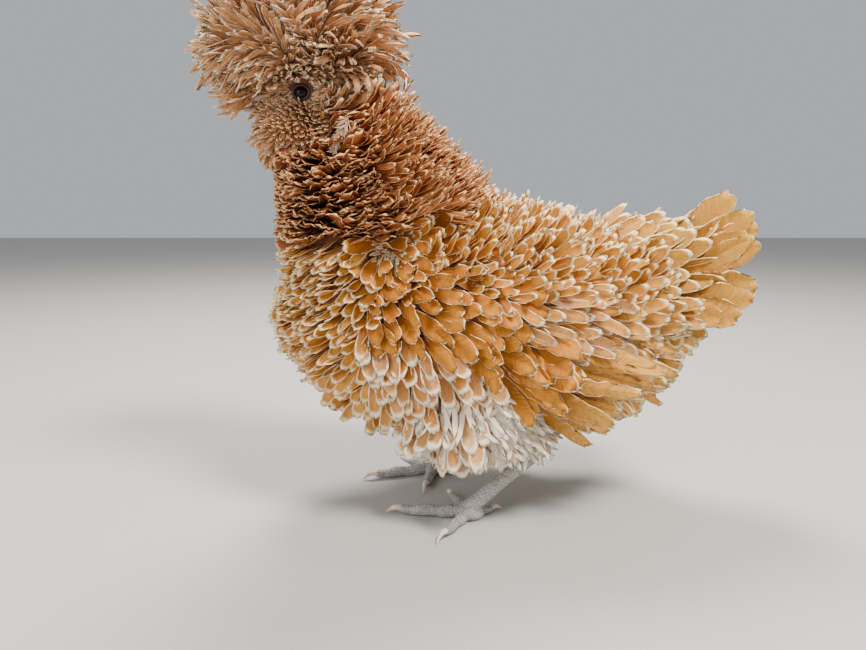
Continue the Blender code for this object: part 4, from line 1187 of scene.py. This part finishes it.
def lay_whorl(side, foot, draw, finish):
    """Short strands of down that point away from the whorl's middle."""
    turn = draw.uniform(0, 2 * math.pi, WHORL_STRANDS)
    x, z = round_places(WING_WHORL, WHORL_REACH * np.sqrt(draw.uniform(0, 1, WHORL_STRANDS)), turn)
    table = wing_table(side, x, z, np.degrees(turn), draw, length=11, width=3, lift=30, curl=20, wave=0.4,
                       frill=0.5, fray=0.25, tone=0.7, pale=0.4)
    feather_mesh(f"whorl_down_{foot}", table, finish, f"wing_{foot}", "fluff", 6, 5, 0.15)


def lay_shoulder(side, foot, draw, finish):
    """Feathers between the neck and the wing, which lead away from the whorl over the body."""
    at, out, places = merged(roots_on("neck", 6.0, draw), roots_on("torso", 6.0, draw))
    x, y, z = at.T
    high = (z < neck_foot(x) + 4) & (z > 190) & (x > -50) & (x < 70) & (y * side > 34)
    at, out, places = pick(high & ~under_wing(x, y, z, 4), at, out, places)
    away = (at - (WING_WHORL[0] - 10, 0, WING_WHORL[1])) * (1, 0, 1)
    table = feathers(at, out, away, places, draw, length=26, width=11.5, lift=26, curl=26, cup=0.1, wave=0.25,
                     frill=0.2, fray=0.05, tone=0.6, lace=0.6, tipped=0.25)
    feather_mesh(f"shoulder_feathers_{foot}", table, finish, f"wing_{foot}", "broad", 8, 7, 0.25)


def lay_flank(side, foot, draw, finish):
    """Paler feathers below the coverts, and longer slim ones over the quills' base."""
    x, z = (value.ravel() for value in np.meshgrid(np.arange(-50, 112, 8.5), np.arange(92, 210, 8.0)))
    x = x + draw.uniform(-2.5, 2.5, len(x))
    z = z + draw.uniform(-2, 2, len(x))
    plume = x + 0.6 * (z - 150) > 58
    below = ~plume & (z < 162 - 0.29 * (x + 43)) & (x < 40)
    x, z, plume = pick(on_wing(x, z, 3) & ((plume & (z > 148)) | below), x, z, plume)
    table = wing_table(
        side, x, z, np.interp(x, [-50, -10, 40, 60], [-82, -66, -46, -14]), draw, length=33 + 7 * plume,
        width=12 - 3.5 * plume, lift=18, curl=14, cup=0.1, wave=0.3, frill=0.2, fray=0.08, tone=0.66,
        lace=1.2 - 0.5 * plume, tipped=0.3, pale=draw.uniform(0, 0.15, len(x)),
    )
    feather_mesh(f"flank_feathers_{foot}", table, finish, f"wing_{foot}", "broad", 9, 7, 0.25)


def lay_secondaries(side, foot, draw, finish):
    """Ten broad quills in one row, the lower the steeper."""
    k = np.arange(10) / 9
    table = wing_table(
        side, 48 + 22 * k - 34 * k**2, 168 - 44 * k, -8 - 22 * k, draw, length=66 - 8 * k, width=16, lift=9,
        curl=7, cup=-0.05, wave=0.16, frill=0.16, round=0.35, fray=0.2, tone=0.58, lace=0.5, tipped=0.7,
        roll=-9 * side, bend=-0.04 * side, calm=0.6,
    )
    feather_mesh(f"secondaries_{foot}", table, finish, f"wing_{foot}", "flight", 12, 7, 0.4)


def lay_primaries(side, foot, draw, finish):
    """The long frayed quills of the wing's end, in one row."""
    k = np.arange(17) / 16
    table = wing_table(
        side, 84 - 36 * k, 148 - 44 * k, -13 - 11 * k, draw, length=92 - 14 * k, width=10.5, lift=4, curl=6,
        cup=-0.05, wave=0.14, frill=0.16, round=0.3, fray=0.3, tone=0.62, lace=0.3, tipped=1.0,
        roll=-8 * side, calm=0.7,
    )
    feather_mesh(f"primaries_{foot}", table, finish, f"wing_{foot}", "flight", 14, 7, 0.4)


class HEN_OT_wings(HenOperator, bpy.types.Operator):
    """Lay the wing feathers: tiles of coverts, then secondaries and primaries"""

    bl_idname = "hen.wings"
    bl_label = "Wings"

    def execute(self, context):
        kinds = ("wing covert", "flight feather", "flank feather")
        covert, quill, flank = (feather_finish(kind) for kind in kinds)
        layers = ((lay_coverts, covert), (lay_whorl, flank), (lay_shoulder, covert), (lay_flank, flank),
                  (lay_secondaries, covert), (lay_primaries, quill))
        for side, foot in SIDES:
            draw = dice(10 + side)
            for lay, finish in layers:
                lay(side, foot, draw, finish)
        return {"FINISHED"}


class HEN_OT_tail(HenOperator, bpy.types.Operator):
    """Set the tail fan and the long coverts that overlap its base"""

    bl_idname = "hen.tail"
    bl_label = "Tail"

    def execute(self, context):
        draw = dice(5)
        finish = feather_finish("tail feather")
        rows = [(side, *tier) for side in (-1, 1) for tier in TAIL_TIERS]
        side, slope, length, offset = (np.array(column, float) for column in zip(*rows))
        turn = np.radians(slope + draw.normal(0, 1.5, len(rows)))
        way = stacked(np.cos(turn), side * offset * 0.012, np.sin(turn))
        out = stacked(-0.35 * np.sin(turn), side * 0.9, 0.35 * np.cos(turn))
        out = unit(out - way * (out * way).sum(-1, keepdims=True))
        root = stacked(TAIL_ROOT[0], side * offset, TAIL_ROOT[1] - offset * 0.9)
        places = stacked(0.1 + 0.8 * (side + 1) / 2, offset / 30)
        table = feathers(
            root, out, way, places, draw, length=length, width=25, lift=1, curl=16, cup=0.12, wave=0.12,
            frill=0.08, round=0.6, fray=0.1, tone=0.55, lace=0.3, tipped=0.9, twist=6 * side, calm=0.3,
        )
        feather_mesh("tail_fan", table, finish, "tail", "flight", 16, 11, 0.6)
        rump = roots_on("rump", 8.8, draw, lambda x, y, z: x > 112)
        loin = roots_on("torso", 9.5, draw, lambda x, y, z: (x > 112) & (z > 128))
        at, out, places = merged(rump, loin)
        up = np.clip((at[:, 2] - 178) / 36, -1, 1)
        apart = 0.2 * np.sign(at[:, 1]) * (1 - 0.7 * np.maximum(up, 0))
        table = feathers(
            at, out, stacked(1, apart, 0.12 + 0.6 * up), places, draw,
            length=60 - 8 * np.maximum(up, 0) + 22 * np.minimum(up, 0), width=15.5, lift=14, curl=14,
            calm=0.7, cup=0.2, wave=0.16, frill=0.12, round=0.75, fray=0.03, tone=0.5, lace=1.1, tipped=0.42,
        )
        feather_mesh("tail_coverts", table, finish, "tail", "broad", 9, 7, 0.4)
        return {"FINISHED"}


# Legs, bill and eyes


def carried_profile(path, radii, sides, shape):
    """A ring carried along a path, square to it. Shape gives the share of the radius at (ring, turn)."""
    way = unit(np.gradient(path, axis=0))
    across = unit(np.cross(way, (0, 0, 1.0)))
    up = np.cross(across, way)
    turn = (2 * math.pi * np.arange(sides) / sides)[None, :]
    size = radii[:, None] * shape(np.arange(len(path))[:, None] / (len(path) - 1), turn)
    return path[:, None] + size[..., None] * (np.cos(turn)[..., None] * across[:, None]
                                              + np.sin(turn)[..., None] * up[:, None])


def scutes(length, pitch, height):
    """Plates across the upper side: a saw tooth along the path, faded to small scales round the back."""

    def shape(share, turn):
        front = np.clip(np.sin(turn) * 1.6 + 0.25, 0, 1)
        tooth = 1 - (share * length / pitch) % 1.0
        back = np.sin(share * length / pitch * 2 * math.pi * 1.7 + 2 * np.sin(turn * 5)) * np.cos(turn * 9)
        return 1 + height * (front * tooth + (1 - front) * 0.4 * back)

    return shape


def toe_path(foot, turn, length, radius):
    """Points along a toe's middle, from inside the sole to its end, low in an easy wave over its joints."""
    x, y = SOLES[foot]
    mirror = 1 if foot == "right" else -1
    angle = math.radians(HEADINGS[foot] - mirror * turn)
    way = np.array([math.cos(angle), math.sin(angle), 0])
    s = np.linspace(0, 1, TOE_RINGS)
    height = radius * 0.82 + 0.9 * np.sin(s * math.pi * 2.5) ** 2
    return np.array([x, y, 0]) + way * (s * length)[:, None] + stacked(0, 0, height), way


def leg_shells(foot):
    """The shank down to the sole, the toes with their joints, and the pad under them."""
    x, y = SOLES[foot]
    hock = np.array([x + HOCK_BACK, y, HOCK_RISE])
    s = np.linspace(0, 1, 110)
    path = hock + (np.array([x, y, 7.0]) - hock) * s[:, None]
    radii = SHANK_RADIUS * np.interp(s, [0, 0.12, 0.5, 0.85, 1], [1.25, 1.05, 0.9, 1.0, 1.2])
    shells = [closed_tube(carried_profile(path, radii, 36, scutes(80, 3.6, 0.11)))]
    s = np.linspace(0, 1, TOE_RINGS)
    for _, turn, length, radius in TOES:
        joints = 1 + 0.07 * np.cos(s * math.pi * 2 * 3)
        radii = radius * np.interp(s, [0, 0.3, 0.8, 1], [1.25, 1.0, 0.85, 0.6]) * joints
        path, _ = toe_path(foot, turn, length, radius)
        shells.append(closed_tube(carried_profile(path, radii, 24, scutes(length, 3.0, 0.12))))
    pad = [(x - 11, 3, 1, 1), (x - 6, 4, 6, 8), (x + 2, 5, 7, 9.5), (x + 9, 4, 5, 7), (x + 13, 3, 1, 1)]
    return [*shells, closed_tube(Form(pad, y=y).grid(24, 30))]


def claw_grid(start, way, toe, radius):
    """A claw: rings that shrink along an arc that rises a little and drops towards the floor."""
    s = np.linspace(0, 1, 16)[:, None]
    reach = (CLAW_LENGTH * (0.75 if toe == "hind" else 1.0)) + 1.5
    drop = min(start[2] - 0.8, CLAW_DROP)
    path = start + way * reach * s + np.array([0, 0, 1.0]) * (1.6 * np.sin(s * math.pi) - drop * s**2)
    radii = radius * 0.64 * (1 - 0.92 * s[:, 0] ** 1.7)
    return carried_profile(path, radii, 16, lambda share, turn: 1 - 0.25 * np.clip(-np.sin(turn), 0, 1))


class HEN_OT_legs(HenOperator, bpy.types.Operator):
    """Model the scaly shanks, toes and claws"""

    bl_idname = "hen.legs"
    bl_label = "Legs and claws"

    def execute(self, context):
        settings = context.scene.hen_feet
        slate = tuple(settings.slate)
        groove, dark = (tuple(share * c for c in slate) for share in (0.4, 0.7))
        scaly = scaly_finish("shank scales", groove, dark, slate)
        horn = blotched_finish("claw horn", tuple(settings.horn), (0.62, 0.47, 0.36), 0.32, 0.15, 0.0002,
                               120.0, 900.0)
        for foot in SOLES:
            points, faces = joined(leg_shells(foot))
            points[:, 2] = np.maximum(points[:, 2], 0.05)
            replace_nodes(new_object(f"shank_{foot}", points, faces, scaly), "shank_skin", f"leg_{foot}")
            for toe, turn, length, radius in TOES:
                path, way = toe_path(foot, turn, length, radius)
                claw = claw_grid(path[-1] - way * 1.5, way, toe, radius)
                made = new_object(f"claw_{toe}_{foot}", *closed_tube(claw), horn)
                replace_nodes(made, "horn", f"claw_{foot}_{toe}")
        return {"FINISHED"}


class HEN_OT_bill(HenOperator, bpy.types.Operator):
    """Model the curved bill with its nostrils"""

    bl_idname = "hen.bill"
    bl_label = "Bill"

    def execute(self, context):
        finish = blotched_finish("bill horn", (0.56, 0.36, 0.26), (0.30, 0.17, 0.12), 0.38, 0.2, 0.0003,
                                 90.0, 700.0)
        upper, lower = (Form(rows).grid(40, 40) for rows in (UPPER_BILL, LOWER_BILL))
        for side in (-1, 1):
            off = upper - np.array(NOSTRIL) * (1, side, 1)
            near = np.exp(-(off[..., 0] / 3.0) ** 2 - (off[..., 2] / 1.3) ** 2 - (off[..., 1] / 3.0) ** 2)
            upper = upper - stacked(0, side * NOSTRIL_DEPTH * near, 0)
        for name, grid in (("bill_upper", upper), ("bill_lower", lower)):
            replace_nodes(new_object(f"{name}_horn", *closed_tube(grid), finish), "horn", name)
        return {"FINISHED"}


class HEN_OT_eyes(HenOperator, bpy.types.Operator):
    """Model the eyes and the wrinkled lids round them"""

    bl_idname = "hen.eyes"
    bl_label = "Eyes and lids"

    def execute(self, context):
        wet = eye_finish()
        bare = blotched_finish("bare face", (0.020, 0.010, 0.009), (0.065, 0.032, 0.028), 0.5, 0.5, 0.0005,
                               140.0, 1200.0)
        polar_turn = np.linspace(0.02, math.pi - 0.02, 40)[:, None]
        turn = (2 * math.pi * np.arange(48) / 48)[None, :]
        around = (2 * math.pi * np.arange(LID_RINGS) / LID_RINGS)[:, None]
        section = np.linspace(-0.3 * math.pi, 1.15 * math.pi, LID_SIDES)[None, :]
        thick = 1.05 * (1 + 0.12 * np.sin(around * 14 + section * 2))
        radius, rise = LID_RADIUS + thick * np.cos(section), thick * np.sin(section)
        i, j = np.meshgrid(np.arange(LID_RINGS), np.arange(LID_SIDES), indexing="ij")
        corners = [(i + ahead) % LID_RINGS * LID_SIDES + (j + beside) % LID_SIDES
                   for ahead, beside in ((0, 0), (0, 1), (1, 1), (1, 0))]
        quads = stacked(*corners).reshape(-1, 4)
        for side, foot in SIDES:
            centre = EYE_CENTRE * (1, side, 1)
            ball = stacked(np.sin(polar_turn) * np.cos(turn), side * np.cos(polar_turn),
                           np.sin(polar_turn) * np.sin(turn))
            points, faces = closed_tube(centre + ball * EYE_RADIUS)
            made = new_object(f"eyeball_{foot}", points, faces, wet)
            outwards = np.clip(side * (points - centre)[:, 1] / EYE_RADIUS, -1, 1)
            point_value(made, "ring", np.arccos(outwards) / math.pi * 2)
            replace_nodes(made, "eye", f"eye_{foot}")
            lid = stacked(radius * np.cos(around), side * rise, 0.84 * radius * np.sin(around))
            lid = lid + (EYE_CENTRE[0], side * LID_Y, EYE_CENTRE[2])
            replace_nodes(quad_object(f"lids_{foot}", lid.reshape(-1, 3), quads, bare), "face_skin")
        return {"FINISHED"}


# Stage


def add_lamp(name, where, size, watts, colour):
    """A round area light that faces LAMP_AIM."""
    lamp = bpy.data.lights.new(name, "AREA")
    lamp.shape = "DISK"
    lamp.size = size
    lamp.energy = watts
    lamp.color = colour
    made = bpy.data.objects.new(name, lamp)
    bpy.context.scene.collection.objects.link(made)
    made.location = where
    way = np.subtract(LAMP_AIM, where)
    tilt, turn = math.acos(-way[2] / np.linalg.norm(way)), math.atan2(way[1], way[0]) - math.pi / 2
    made.rotation_euler = (tilt, 0, turn)


class HEN_OT_stage(HenOperator, bpy.types.Operator):
    """Set the floor, the soft lights and the camera"""

    bl_idname = "hen.stage"
    bl_label = "Stage"

    def execute(self, context):
        settings = context.scene.hen_stage
        worn = tuple(0.985 * c for c in settings.floor)
        finish = blotched_finish("studio floor", tuple(settings.floor), worn, 0.75, 0.02, 0.0002, 3.0, 60.0)
        mesh = bpy.data.meshes.new("floor")
        reach = 6.0
        mesh.from_pydata([(-reach, -reach, 0), (reach, -reach, 0), (reach, reach, 0), (-reach, reach, 0)], [],
                         [(0, 1, 2, 3)])
        mesh.materials.append(finish)
        floor = bpy.data.objects.new("floor", mesh)
        context.scene.collection.objects.link(floor)
        world = bpy.data.worlds.new("studio")
        world.use_nodes = True
        sky = world.node_tree.nodes["Background"]
        sky.inputs[0].default_value = (0.93, 0.95, 1.0, 1)
        sky.inputs[1].default_value = 0.52
        context.scene.world = world
        for name, where, size, share, colour in LAMPS:
            add_lamp(name, where, size, settings.key_watts * share, colour)
        lens = bpy.data.cameras.new("photo view")
        lens.sensor_width = 36.0
        lens.lens = FOCAL_PIXELS / PHOTO_WIDTH * lens.sensor_width
        lens.clip_start = 0.01
        camera = bpy.data.objects.new("photo view", lens)
        camera.location = place(CAMERA_PLACE)
        camera.rotation_euler = (math.radians(90 - CAMERA_PITCH), 0, 0)
        context.scene.collection.objects.link(camera)
        context.scene.camera = camera
        return {"FINISHED"}


class HEN_PT_panel(bpy.types.Panel):
    """Lists the settings and the pieces"""

    bl_idname = "HEN_PT_panel"
    bl_label = "Hen"
    bl_space_type = "VIEW_3D"
    bl_region_type = "UI"
    bl_category = "Hen"

    def draw(self, context):
        for name in SETTINGS:
            settings = getattr(context.scene, name)
            for key in settings.__annotations__:
                self.layout.prop(settings, key)
        for operator in OPERATORS:
            self.layout.operator(operator.bl_idname)


SETTINGS = {"hen_plumage": HenPlumage, "hen_feet": HenFeet, "hen_stage": HenStage}
OPERATORS = (HEN_OT_skin, HEN_OT_crest, HEN_OT_beard, HEN_OT_neck, HEN_OT_body, HEN_OT_fluff, HEN_OT_wings,
             HEN_OT_tail, HEN_OT_thighs, HEN_OT_legs, HEN_OT_bill, HEN_OT_eyes, HEN_OT_stage)


def register():
    for key, group in SETTINGS.items():
        bpy.utils.register_class(group)
        setattr(bpy.types.Scene, key, PointerProperty(type=group))
    for cls in (*OPERATORS, HEN_PT_panel):
        bpy.utils.register_class(cls)


def unregister():
    for cls in reversed((*OPERATORS, HEN_PT_panel)):
        bpy.utils.unregister_class(cls)
    for key, group in SETTINGS.items():
        delattr(bpy.types.Scene, key)
        bpy.utils.unregister_class(group)


def main():
    register()
    for operator in OPERATORS:
        group, name = operator.bl_idname.split(".")
        getattr(getattr(bpy.ops, group), name)()


if __name__ == "__main__":
    main()
